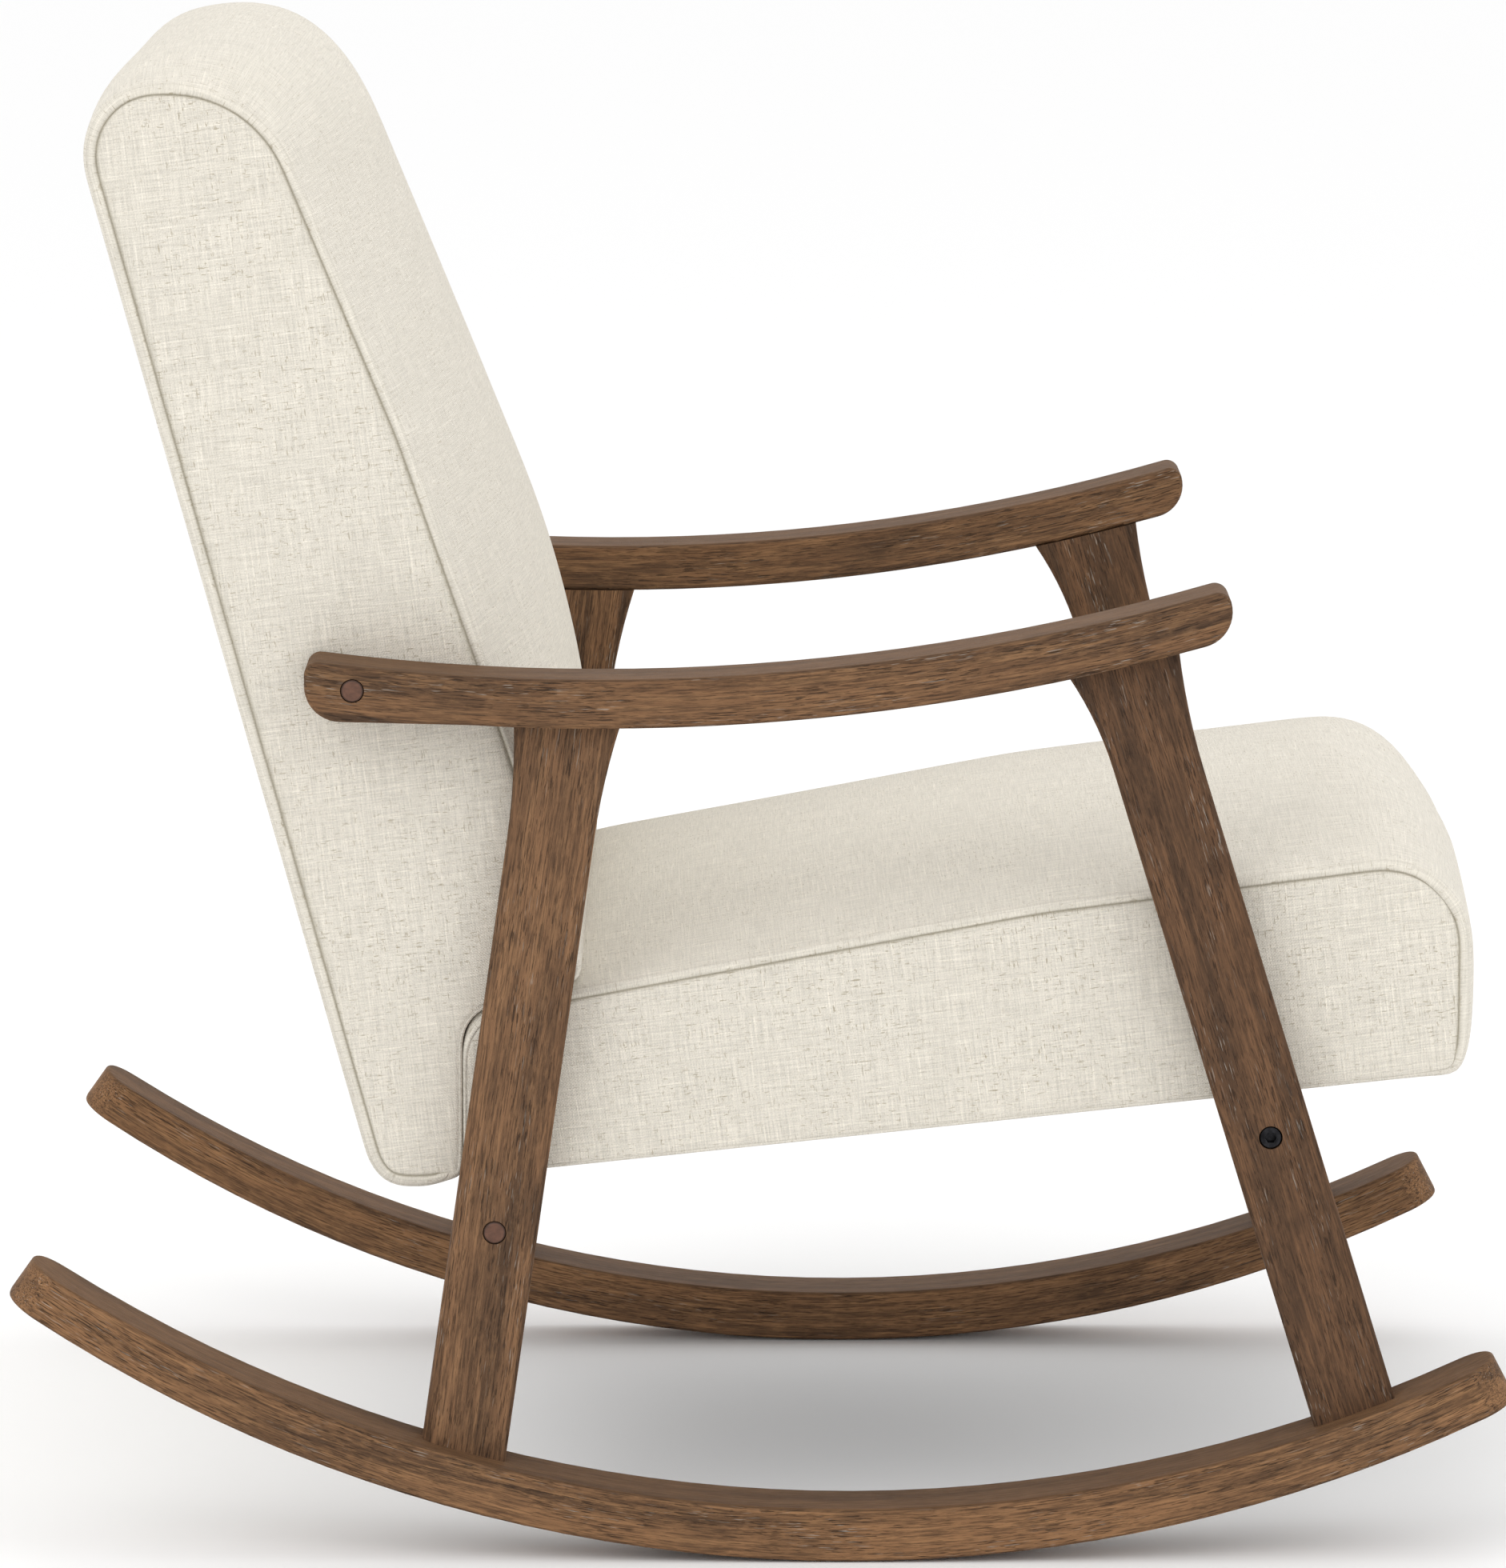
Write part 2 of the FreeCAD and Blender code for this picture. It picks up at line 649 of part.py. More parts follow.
def drilled(label, base, tools):
    """A piece with holes cut out of it."""
    base.Label = label + "_blank"
    tool = tools[0]
    if len(tools) > 1:
        tool = doc.addObject("Part::MultiFuse", label + "_holes")
        tool.Shapes = tools
    piece = doc.addObject("Part::Cut", label)
    piece.Label = label
    piece.Base = base
    piece.Tool = tool
    doc.recompute()
    return piece


def grouped(label, parts):
    """Several like pieces kept together, each its own solid."""
    group = doc.addObject("Part::Compound", label)
    group.Label = label
    group.Links = parts
    doc.recompute()
    return group


# ---------------------------------------------------------------- stretchers

NUT_IN = 36
NUT_HALF = 12
DOWEL_OUT = 12
FIX_Y = 140
FIX_DIAMETER = 6
front_u, front_v = seat_along(D["front_bolt_x"], D["front_bolt_z"])
rear_u, rear_v = seat_along(D["rear_bolt_x"], D["rear_bolt_z"])


def make_stretcher(place_name, axis, u, v):
    """A cross bar between the legs, under the seat, with its bolt and dowel holes."""
    label = place_name + "_stretcher"
    depth = D["stretcher_depth"] / 2
    top = size(-0.4)
    bar = seat_box(label, (u - depth, u + depth), (-leg_inner, leg_inner),
                   (top - D["stretcher_height"], top))
    tools = []
    for name, side in SIDES:
        end = span(side, leg_inner - 60, leg_inner + 1)
        tools.append(side_pin(label + "_bore", axis[0], axis[1], end, D["bolt_diameter"] + 0.6))
        y = side * (leg_inner - NUT_IN)
        tools.append(seat_pin(label + "_nut_bore", u, y, (top - D["stretcher_height"] - 1,
                                                          v + NUT_HALF + 1), D["nut_diameter"]))
        fix_y = size(side * FIX_Y)
        tools.append(seat_pin(label + "_fix_bore", u, fix_y,
                              (top - D["stretcher_height"] - 1, top + 1), FIX_DIAMETER + 0.6))
        x, z = seat_point(u, dowel_v[place_name])
        tools.append(side_pin(label + "_dowel_bore", x, z,
                              span(side, leg_inner - 22, leg_inner + 1), 8))
    return drilled(label, bar, tools)


dowel_v = {"front": front_v - 14.5, "rear": rear_v + 17}
front_stretcher = make_stretcher("front", front_axis, front_u, front_v)
rear_stretcher = make_stretcher("rear", rear_axis, rear_u, rear_v)
nodes += [front_stretcher, rear_stretcher]

# the legs take the other half of each dowel
dowels = []
for place_name, u in (("front", front_u), ("rear", rear_u)):
    for name, side in SIDES:
        x, z = seat_point(u, dowel_v[place_name])
        leg = [n for n in nodes if n.Label == "%s_leg_%s" % (place_name, name)][0]
        prism(leg, circle(x, z, 8), *span(side, leg_inner - 1, leg_inner + DOWEL_OUT), cut=True)
        dowels.append(side_pin("dowel", x, z,
                               span(side, leg_inner - 20, leg_inner + DOWEL_OUT - 1), 8))
nodes.append(grouped("stretcher_dowels", dowels))

# ---------------------------------------------------------------- bolts, nuts and plugs


def socket_bolt(label, side, x, z, head_outer, length):
    """A cap screw along Y with a hexagon socket in its head."""
    body = new_body(label)
    head_inner = head_outer - D["head_height"]
    prism(body, circle(x, z, D["head_diameter"]), *span(side, head_inner, head_outer))
    prism(body, circle(x, z, D["bolt_diameter"]), *span(side, head_inner - length, head_inner))
    prism(body, hexagon(x, z, D["key_size"]), *span(side, head_outer - 4, head_outer + 1),
          cut=True)
    rim = side * head_outer.value
    ease(body, 0.8, lambda e: abs(middle_of(e).y - rim) < 0.01 and not is_line(e))
    return body


def wood_plug(label, side, x, z, inner, outer):
    """A round button that fills a bolt hole."""
    body = new_body(label)
    prism(body, circle(x, z, D["plug_diameter"]), *span(side, inner, outer))
    rim = side * size(outer).value
    ease(body, 2, lambda e: abs(middle_of(e).y - rim) < 0.01)
    return body


front_bolts, rear_bolts, arm_bolts, leg_plugs, arm_plugs = [], [], [], [], []
nuts, inserts, fixings, joint_bolts = [], [], [], []
for name, side in SIDES:
    front_bolts.append(socket_bolt("front_bolt_" + name, side, *front_axis[:2],
                                   leg_outer - 0.8, leg_outer - 8.8 - leg_inner + 50))
    rear_bolts.append(socket_bolt("rear_bolt_" + name, side, *rear_axis[:2],
                                  leg_outer - 6, leg_outer - 14 - leg_inner + 50))
    leg_plugs.append(wood_plug("leg_plug_" + name, side, *rear_axis[:2],
                               leg_outer - 5.8, leg_outer + 0.8))
    arm_bolts.append(socket_bolt("arm_bolt_" + name, side, *arm_bolt,
                                 arm_seat + D["head_height"], size(40)))
    arm_plugs.append(wood_plug("arm_plug_" + name, side, *arm_bolt,
                               arm_seat + D["head_height"] + 0.2, half_width + 0.8))
    for x, z, u, v in ((*front_axis[:2], front_u, front_v), (*rear_axis[:2], rear_u, rear_v)):
        y = side * (leg_inner - NUT_IN)
        nut = seat_pin("nut", u, y, (v - NUT_HALF, v + NUT_HALF), D["nut_diameter"])
        thread = side_pin("nut_thread", x, z, span(side, leg_inner - NUT_IN - 10,
                                                   leg_inner - NUT_IN + 10), D["bolt_diameter"])
        nuts.append(drilled("barrel_nut", nut, [thread]))
    insert = side_pin("insert", *arm_bolt, span(side, band_half - 18, band_half - 2), 12)
    thread = side_pin("thread", *arm_bolt, span(side, band_half - 20, band_half), 8)
    inserts.append(drilled("arm_insert", insert, [thread]))
nodes.append(grouped("front_leg_bolts", front_bolts))
nodes.append(grouped("rear_leg_bolts", rear_bolts))
nodes.append(grouped("rear_leg_plugs", leg_plugs))
nodes.append(grouped("armrest_bolts", arm_bolts))
nodes.append(grouped("armrest_plugs", arm_plugs))
nodes.append(grouped("barrel_nuts", nuts))
nodes.append(grouped("armrest_inserts", inserts))

# ---------------------------------------------------------------- seat frame

RAIL_LOW = 2
rail_high = RAIL_LOW + D["rail_height"]
rail = D["rail_thickness"]
frame_half = band_half - 1.5
rear_rail_back = D["seat_rear_x"] + 3
rear_rail_front = rear_rail_back + rail
front_rail_us = (seat_length - 5 - rail, seat_length - 5)
cross_us = (front_u - rail / 2, front_u + rail / 2)
side_rail_ys = (frame_half - rail, frame_half)


def under(x):
    """Height of the seat's underside at x."""
    return D["seat_rear_z"] + (size(x) - D["seat_rear_x"]) * (seat_rise / seat_run)


JOINT_YS = (80, 190)
JOINT_Z = 262


def joint_holes(diameter):
    """Four holes for the bolts that hold the back to the seat."""
    def draw(sketch):
        for y in JOINT_YS:
            circle(y, JOINT_Z, diameter)(sketch)
            circle(-y, JOINT_Z, diameter)(sketch)
    return draw


def leaning(x_low, x_high, base, top):
    """A four-sided outline whose foot follows the seat's underside."""
    return polygon([(x_low, under(x_low) + base, 0), (x_high, under(x_high) + base, 0),
                    (x_high, under(x_high) + top, 0), (x_low, under(x_low) + top, 0)])


rear_rail = new_body("seat_rear_rail")
prism(rear_rail, leaning(rear_rail_back, rear_rail_front, RAIL_LOW, rail_high),
      -frame_half, frame_half)
prism(rear_rail, joint_holes(6.6), rear_rail_back - 1, rear_rail_front + 1, "YZ", cut=True)
rear_rail_node = drilled("seat_rear_rail", rear_rail, [
    seat_pin("fix_bore", rear_u, size(s * FIX_Y), (0, 30), FIX_DIAMETER) for _, s in SIDES])
front_rail = seat_box("seat_front_rail", front_rail_us, (-frame_half, frame_half),
                      (RAIL_LOW, rail_high))
cross_rail = seat_box("seat_cross_rail", cross_us, (-side_rail_ys[0], side_rail_ys[0]),
                      (RAIL_LOW, rail_high))
cross_rail_node = drilled("seat_cross_rail", cross_rail, [
    seat_pin("fix_bore", front_u, size(s * FIX_Y), (0, 30), FIX_DIAMETER) for _, s in SIDES])
nodes += [rear_rail_node, front_rail, cross_rail_node]

side_start = rear_rail_front + 0.5
side_end = seat_point(front_rail_us[0], rail_high)[0] - 0.5
for name, side in SIDES:
    side_rail = new_body("seat_side_rail_" + name)
    prism(side_rail, leaning(side_start, side_end, RAIL_LOW, rail_high),
          *span(side, *side_rail_ys))
    nodes.append(side_rail)

blocks = []
BLOCK = 32
for side in (1, -1):
    ys = span(side, side_rail_ys[0] - BLOCK, side_rail_ys[0])
    u_rear = seat_along(rear_rail_front, under(rear_rail_front))[0] + 6
    blocks.append(seat_box("block", (u_rear, u_rear + BLOCK), ys, (RAIL_LOW, RAIL_LOW + 36)))
    blocks.append(seat_box("block", (front_rail_us[0] - BLOCK, front_rail_us[0]), ys,
                           (RAIL_LOW, RAIL_LOW + 36)))
nodes.append(grouped("seat_corner_blocks", blocks))

for _, side in SIDES:
    y = size(side * FIX_Y)
    for u in (front_u, rear_u):
        head_low = -0.4 - D["stretcher_height"] - 4
        head = seat_pin("fix_head", u, y, (head_low, head_low + 4), 12)
        shank = seat_pin("fix_shank", u, y, (head_low + 4, 28), FIX_DIAMETER)
        bolt = doc.addObject("Part::MultiFuse", "seat_fixing")
        bolt.Shapes = [head, shank]
        fixings.append(bolt)
nodes.append(grouped("seat_fixing_bolts", fixings))

straps = []
strap_vs = (rail_high, rail_high + D["strap_thickness"])
STRAP_PITCH = 104
for k in range(5):
    y = size((k - 2) * STRAP_PITCH)
    straps.append(seat_box("strap", (9, seat_length - 6),
                           (y - D["strap_width"] / 2, y + D["strap_width"] / 2), strap_vs))
nodes.append(grouped("seat_webbing", straps))

foam_low = rail_high + D["strap_thickness"] + 1
FOAM_GAP = 3
shrink = D["cloth"] + FOAM_GAP - 2
foam_rear, foam_front = D["seat_rear_x"] + shrink, D["seat_front_x"] - shrink


def seat_corners(front=0, nose=0, crest=0, back=0, inset=0, low=0):
    """Side outline of the seat, from the rear lower corner, anticlockwise."""
    inset = size(inset)
    rear_x, front_x = D["seat_rear_x"] + inset, D["seat_front_x"] + front - inset
    return [
        (rear_x, under(rear_x) + low, 4), (front_x, under(front_x) + low, 6),
        (front_x, D["seat_nose_z"] + nose - inset, D["seat_nose_round"] - inset),
        (D["seat_crest_x"], D["seat_crest_z"] + crest - inset, 500),
        (rear_x, D["seat_back_z"] + back - inset, 26 - inset)]




def loft(body, kind, sections):
    """Outlines across the chair joined by a loft, added to a body or cut from it."""
    sketches = []
    for offset, corners in sections:
        sketch = new_sketch(body, "XZ", offset)
        polygon(corners)(sketch)
        sketch.Visibility = False
        sketches.append(sketch)
    doc.recompute()
    feature = body.newObject("PartDesign::" + kind, "Loft")
    feature.Profile = sketches[0]
    feature.Sections = sketches[1:]
    doc.recompute()
    return body


def domed(side, middle, half, **more):
    """Side, middle and side outlines of a domed piece; side and middle are corner lists."""
    return [(-half, side(**more)), (0, middle(**more)), (half, side(**more))]


band = D["band"]


def side_seat(**more):
    return seat_corners(front=band, nose=band, crest=band, back=band / 3, **more)


def middle_seat(**more):
    return seat_corners(front=D["seat_bow"] + band, nose=D["seat_crown"] + band,
                        crest=D["seat_crown"] + band, back=band / 3, **more)


foam = new_body("seat_foam")
loft(foam, "AdditiveLoft", domed(side_seat, middle_seat, frame_half, inset=shrink + 2,
                                 low=foam_low))
nodes.append(foam)
seat_cover = new_body("seat_cover")
loft(seat_cover, "AdditiveLoft", domed(side_seat, middle_seat, band_half))
loft(seat_cover, "SubtractiveLoft", domed(side_seat, middle_seat, band_half,
                                          inset=D["cloth"], low=-20))
prism(seat_cover, joint_holes(7), D["seat_rear_x"] - 2, D["seat_rear_x"] + 6, "YZ", cut=True)
nodes.append(seat_cover)
for name, side in SIDES:
    panel = new_body("seat_side_panel_" + name)
    prism(panel, polygon(seat_corners()), *span(side, band_half, seat_half))
    nodes.append(panel)
dust_cover = seat_box("seat_dust_cover", (12, seat_length - 12),
                      (-band_half + 12, band_half - 12), (0.3, 1.6))
nodes.append(drilled("seat_dust_cover", dust_cover, [
    seat_pin("fix_bore", u, size(s * FIX_Y), (-1, 3), FIX_DIAMETER + 2)
    for u in (front_u, rear_u) for _, s in SIDES]))

# ---------------------------------------------------------------- back


def back_rear(z, inset=0):
    """x of the back's rear line at a height."""
    return D["back_foot_x"] - D["back_rake"] * (size(z) - D["back_foot_z"]) + inset


notch_x = D["seat_rear_x"] - D["cushion_gap"]
crest_x = D["seat_crest_x"]


def seat_top(x, crown, spare):
    """Height just over the seat's upper face behind its crest."""
    low = D["seat_back_z"] + band / 3
    high = D["seat_crest_z"] + band + crown
    return low + (size(x) - D["seat_rear_x"]) * ((high - low) / (crest_x - D["seat_rear_x"])) + spare


def back_corners(front=0, toe=0, top=0, rear=0, inset=0, crown=0):
    """Side outline of the back, from the rear lower corner, anticlockwise."""
    inset, front, top, rear = size(inset), size(front), size(top), size(rear)
    toe_x = D["back_toe_x"] + toe - inset
    low_z = D["back_foot_z"] + inset
    head_z = D["back_top_z"] + top - inset
    bend_x = D["back_bend_x"] + front - inset
    slope = (D["back_head_x"] - D["back_bend_x"]) / (D["back_top_z"] - D["back_bend_z"])
    front_top_x = bend_x + slope * (head_z - D["back_bend_z"])
    spare = D["cushion_gap"] + 1 + inset
    return [
        (back_rear(low_z, inset - rear), low_z, 16 - inset),
        (notch_x - inset, low_z, 3),
        (notch_x - inset, seat_top(notch_x - inset, crown, spare), 24 + inset),
        (toe_x, seat_top(toe_x, crown, spare), 5),
        (D["back_lumbar_x"] + front - inset, D["back_lumbar_z"], 150),
        (bend_x, D["back_bend_z"], 260),
        (front_top_x, head_z, D["back_front_round"] - inset),
        (back_rear(head_z, inset - rear), head_z, D["back_rear_round"] - inset)]


STILE_DEEP = 88
STILE_FACE = 8
stile_foot = notch_x - 8
stile_turn = 350
stile_head = 760
for name, side in SIDES:
    stile = new_body("back_stile_" + name)
    prism(stile, polygon([
        (back_rear(234, STILE_FACE), 234, 0), (stile_foot, 234, 0), (stile_foot, stile_turn, 0),
        (back_rear(stile_head, STILE_DEEP), stile_head, 0), (-316, 834, 0), (-362, 834, 0),
        (back_rear(stile_head, STILE_FACE), stile_head, 0)]),
        *span(side, frame_half - 20, frame_half))
    prism(stile, circle(*arm_bolt, 12), *span(side, frame_half - 21, frame_half + 1), cut=True)
    nodes.append(stile)

rail_half = frame_half - 20
bottom_front = notch_x - 4
BOTTOM_RAIL = 24
bottom_rail = new_body("back_bottom_rail")
prism(bottom_rail, polygon([
    (bottom_front - BOTTOM_RAIL, 236, 0), (bottom_front, 236, 0), (bottom_front, 300, 0),
    (bottom_front - BOTTOM_RAIL, 300, 0)]), -rail_half, rail_half)
prism(bottom_rail, joint_holes(6.6), bottom_front - BOTTOM_RAIL - 1, notch_x + 1, "YZ", cut=True)
nodes.append(bottom_rail)
RAIL_FRONT = 60
for label, low, high in (("back_middle_rail", 500, 560), ("back_top_rail", 755, 815)):
    bar = new_body(label)
    prism(bar, polygon([
        (back_rear(low, RAIL_FRONT - 22), low, 0), (back_rear(low, RAIL_FRONT), low, 0),
        (back_rear(high, RAIL_FRONT), high, 0), (back_rear(high, RAIL_FRONT - 22), high, 0)]),
        -rail_half, rail_half)
    nodes.append(bar)

back_straps = new_body("back_webbing")
strap_foot = bottom_front - 6
strap_head = back_rear(813, RAIL_FRONT + 6.5)
for k in range(4):
    y = size((k - 1.5) * 115)
    prism(back_straps, polygon([
        (strap_foot, 301, 0), (strap_foot + 2, 301, 0),
        (strap_head + 2, 813, 0), (strap_head, 813, 0)]),
        y - D["strap_width"] / 2, y + D["strap_width"] / 2)
nodes.append(back_straps)


def pad_corners(crown, toe):
    """Side outline of the springy pad in front of the back's webbing."""
    front = [(D["back_toe_x"] + toe, 362, 6), (D["back_lumbar_x"] + crown, D["back_lumbar_z"], 120),
             (D["back_bend_x"] + crown, D["back_bend_z"], 200), (D["back_head_x"] + crown, 836, 8)]
    behind = [(x - D["back_pad"], z, r) for x, z, r in reversed(front)]
    return [(x - 6, z, r) for x, z, r in front + behind]


back_foam = new_body("back_foam")
foam_half = rail_half - 1
loft(back_foam, "AdditiveLoft", [(-foam_half, pad_corners(size(0), size(0))),
                                 (0, pad_corners(D["back_crown"], D["back_toe_crown"])),
                                 (foam_half, pad_corners(size(0), size(0)))])
nodes.append(back_foam)


def side_back(**more):
    return back_corners(front=band, toe=band, top=band, rear=band, crown=D["seat_crown"], **more)


def middle_back(**more):
    return back_corners(front=D["back_crown"], toe=D["back_toe_crown"], top=D["back_rise"],
                        rear=band, crown=D["seat_crown"], **more)


back_cover = new_body("back_cover")
loft(back_cover, "AdditiveLoft", domed(side_back, middle_back, band_half))
loft(back_cover, "SubtractiveLoft", domed(side_back, middle_back, band_half, inset=D["cloth"]))
prism(back_cover, joint_holes(7), notch_x - 6, notch_x + 1, "YZ", cut=True)
nodes.append(back_cover)
for name, side in SIDES:
    panel = new_body("back_side_panel_" + name)
    prism(panel, polygon(back_corners(crown=D["seat_crown"])), *span(side, band_half, seat_half))
    prism(panel, circle(*arm_bolt, 9), *span(side, band_half - 1, seat_half + 1), cut=True)
    nodes.append(panel)

joint_head = bottom_front - BOTTOM_RAIL - 5
for y in (-JOINT_YS[1], -JOINT_YS[0], *JOINT_YS):
    body = new_body("joint_bolt")
    prism(body, circle(size(y), JOINT_Z, 6), joint_head + 4, rear_rail_front + 8, "YZ")
    prism(body, circle(size(y), JOINT_Z, 14), rear_rail_front + 0.2, rear_rail_front + 5, "YZ")
    joint_bolts.append(body)
nodes.append(grouped("back_joint_bolts", joint_bolts))

# ---------------------------------------------------------------- check and export

doc.recompute()
broken = [o.Label for o in doc.Objects if "Invalid" in o.State or "Error" in o.State]
for node in nodes:
    if node.Shape.isNull() or not node.Shape.isValid() or not node.Shape.Solids:
        broken.append(node.Label)
if broken:
    raise RuntimeError("failed: " + ", ".join(broken))
os.makedirs("parts", exist_ok=True)
for node in nodes:
    node.Shape.exportStep("parts/%s.step" % node.Label)
print("%d nodes written" % len(nodes))
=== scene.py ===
import math
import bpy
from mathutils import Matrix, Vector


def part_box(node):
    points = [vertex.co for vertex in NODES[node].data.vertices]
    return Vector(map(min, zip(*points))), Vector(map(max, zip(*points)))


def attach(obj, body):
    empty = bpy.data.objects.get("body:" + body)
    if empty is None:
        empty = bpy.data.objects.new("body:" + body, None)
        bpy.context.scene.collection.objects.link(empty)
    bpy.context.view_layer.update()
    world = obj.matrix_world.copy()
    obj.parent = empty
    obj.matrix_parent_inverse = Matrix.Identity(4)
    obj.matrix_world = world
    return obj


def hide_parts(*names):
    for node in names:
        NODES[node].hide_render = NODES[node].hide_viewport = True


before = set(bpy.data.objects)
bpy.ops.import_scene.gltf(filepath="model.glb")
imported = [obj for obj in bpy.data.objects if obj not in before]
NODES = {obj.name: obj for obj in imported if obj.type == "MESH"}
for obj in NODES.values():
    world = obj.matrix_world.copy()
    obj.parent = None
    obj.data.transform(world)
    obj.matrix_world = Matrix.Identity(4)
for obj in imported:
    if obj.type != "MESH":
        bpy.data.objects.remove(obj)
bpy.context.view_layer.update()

from types import SimpleNamespace

import bmesh
import bpy
from mathutils import Vector

# Upholstered rocking chair: oiled, wire-brushed hardwood with linen cushions.
# Metres; +X is the way the sitter faces, +Y the sitter's left, +Z up.

MM = 0.001
SIDES = ("right", "left")


# ---------------------------------------------------------------- small helpers

def smooth_step(low, high, value):
    """0 below low, 1 above high, and an even rise between."""
    t = min(max((value - low) / (high - low), 0.0), 1.0)
    return t * t * (3 - 2 * t)


def blend(a, b, t):
    return a + (b - a) * t


def pick_only(thing):
    """Make one object the only selected and the active one."""
    bpy.ops.object.select_all(action="DESELECT")
    thing.select_set(True)
    bpy.context.view_layer.objects.active = thing


def place_in_scene(name, data):
    thing = bpy.data.objects.new(name, data)
    bpy.context.scene.collection.objects.link(thing)
    return thing


# ---------------------------------------------------------------- node helpers

def feed(tree, socket, value):
    """Link a socket into another, or set its value."""
    if isinstance(value, bpy.types.NodeSocket):
        tree.links.new(value, socket)
    elif isinstance(value, (tuple, list)) and len(value) == 3 and socket.type == "RGBA":
        socket.default_value = (*value, 1.0)
    else:
        socket.default_value = value


def add(tree, kind, inputs=None, **settings):
    """Add a shader node, set its properties and feed its inputs."""
    node = tree.nodes.new("ShaderNode" + kind)
    for name, value in settings.items():
        setattr(node, name, value)
    for name, value in (inputs or {}).items():
        feed(tree, node.inputs[name], value)
    return node


def calc(tree, operation, *values, clamp=False):
    """A Math node's result."""
    inputs = dict(enumerate(values))
    return add(tree, "Math", inputs, operation=operation, use_clamp=clamp).outputs[0]


def times(tree, *values):
    """The product of several values."""
    product = values[0]
    for value in values[1:]:
        product = calc(tree, "MULTIPLY", product, value)
    return product


def scaled(tree, value, factor, offset, clamp=False):
    """value * factor + offset."""
    return calc(tree, "MULTIPLY_ADD", value, factor, offset, clamp=clamp)


def fade(tree, value, low, high, to_low=0.0, to_high=1.0):
    """A value remapped smoothly from low..high."""
    inputs = {0: value, 1: low, 2: high, 3: to_low, 4: to_high}
    return add(tree, "MapRange", inputs, interpolation_type="SMOOTHSTEP").outputs[0]


def split(tree, vector):
    """The X, Y and Z of a vector."""
    return add(tree, "SeparateXYZ", {0: vector}).outputs


def join(tree, x, y, z):
    return add(tree, "CombineXYZ", {0: x, 1: y, 2: z}).outputs[0]


def stretch(tree, vector, scale, shift=(0, 0, 0)):
    """A vector scaled by three factors, then shifted."""
    return add(tree, "VectorMath", {0: vector, 1: scale, 2: shift},
               operation="MULTIPLY_ADD").outputs[0]


def noise(tree, vector, detail=2, rough=0.5):
    inputs = {"Vector": vector, "Scale": 1.0, "Detail": detail, "Roughness": rough}
    return add(tree, "TexNoise", inputs).outputs[0]


def noises(tree, place, layers):
    """The named noise patterns of a table of (repeats per metre, shift, detail, roughness)."""
    return {name: noise(tree, stretch(tree, place, repeats, shift), detail, rough)
            for name, (repeats, shift, detail, rough) in layers.items()}


def tint(tree, amount, colour_a, colour_b, mode="MIX"):
    """Two colours mixed by an amount."""
    node = add(tree, "Mix", data_type="RGBA", blend_type=mode)
    feed(tree, node.inputs[0], amount)
    feed(tree, node.inputs[6], colour_a)
    feed(tree, node.inputs[7], colour_b)
    return node.outputs[2]


def new_group(name, inputs, outputs):
    """An empty shader group with named sockets, with what it is given and what it puts out."""
    group = bpy.data.node_groups.new(name, "ShaderNodeTree")
    for label, kind, value in inputs:
        socket = group.interface.new_socket(name=label, in_out="INPUT",
                                            socket_type="NodeSocket" + kind)
        if value is not None:
            socket.default_value = value
    for label, kind in outputs:
        group.interface.new_socket(name=label, in_out="OUTPUT", socket_type="NodeSocket" + kind)
    given = group.nodes.new("NodeGroupInput").outputs
    out = group.nodes.new("NodeGroupOutput").inputs
    return group, given, out


def place_group(tree, group, inputs):
    node = tree.nodes.new("ShaderNodeGroup")
    node.node_tree = group
    for name, value in inputs.items():
        feed(tree, node.inputs[name], value)
    return node.outputs


def new_finish(name, **surface):
    """A material with its Principled shader; plain values go on the shader's sockets."""
    finish = bpy.data.materials.new(name)
    finish.use_nodes = True
    tree = finish.node_tree
    tree.nodes.clear()
    shader = add(tree, "BsdfPrincipled")
    for label, value in surface.items():
        feed(tree, shader.inputs[label.replace("_", " ").title().replace("Ior", "IOR")], value)
    out = tree.nodes.new("ShaderNodeOutputMaterial")
    tree.links.new(shader.outputs[0], out.inputs[0])
    return finish, tree, shader


def raise_surface(tree, shader, height, depth, strength=1.0):
    """Feed a height pattern into the shader's normal; depth is in metres."""
    bump = add(tree, "Bump", {"Height": height, "Distance": depth, "Strength": strength})
    tree.links.new(bump.outputs[0], shader.inputs["Normal"])


# ---------------------------------------------------------------- brushed grain

# repeats per metre along the grain, across it and through it; shift; detail; roughness
GRAIN_LAYERS = {
    "bands": ((3.5, 75, 75), (0, 0, 0), 4, 0.6),
    "blotch": ((9, 26, 26), (4, 1, 7), 3, 0.6),
    "fibre": ((42, 1000, 1000), (1, 5, 2), 3, 0.7),
    "strand": ((16, 330, 330), (6, 2, 8), 3, 0.65),
    "pores": ((80, 1250, 1250), (8, 3, 1), 2, 0.6),
    "flecks": ((75, 1100, 1100), (2, 9, 5), 2, 0.55),
    "patch": ((14, 60, 60), (7, 7, 3), 2, 0.6),
    "mottle": ((90, 260, 260), (3, 3, 9), 3, 0.7),
}
GRAIN_BEND = (5, 22, 22)  # repeats per metre of the slow bend
GRAIN_DRIFT = 3 * MM      # how far a fibre strays to either side
WASH_TONE = (0.124, 0.070, 0.037)
PORE_TONE = (0.032, 0.021, 0.015)


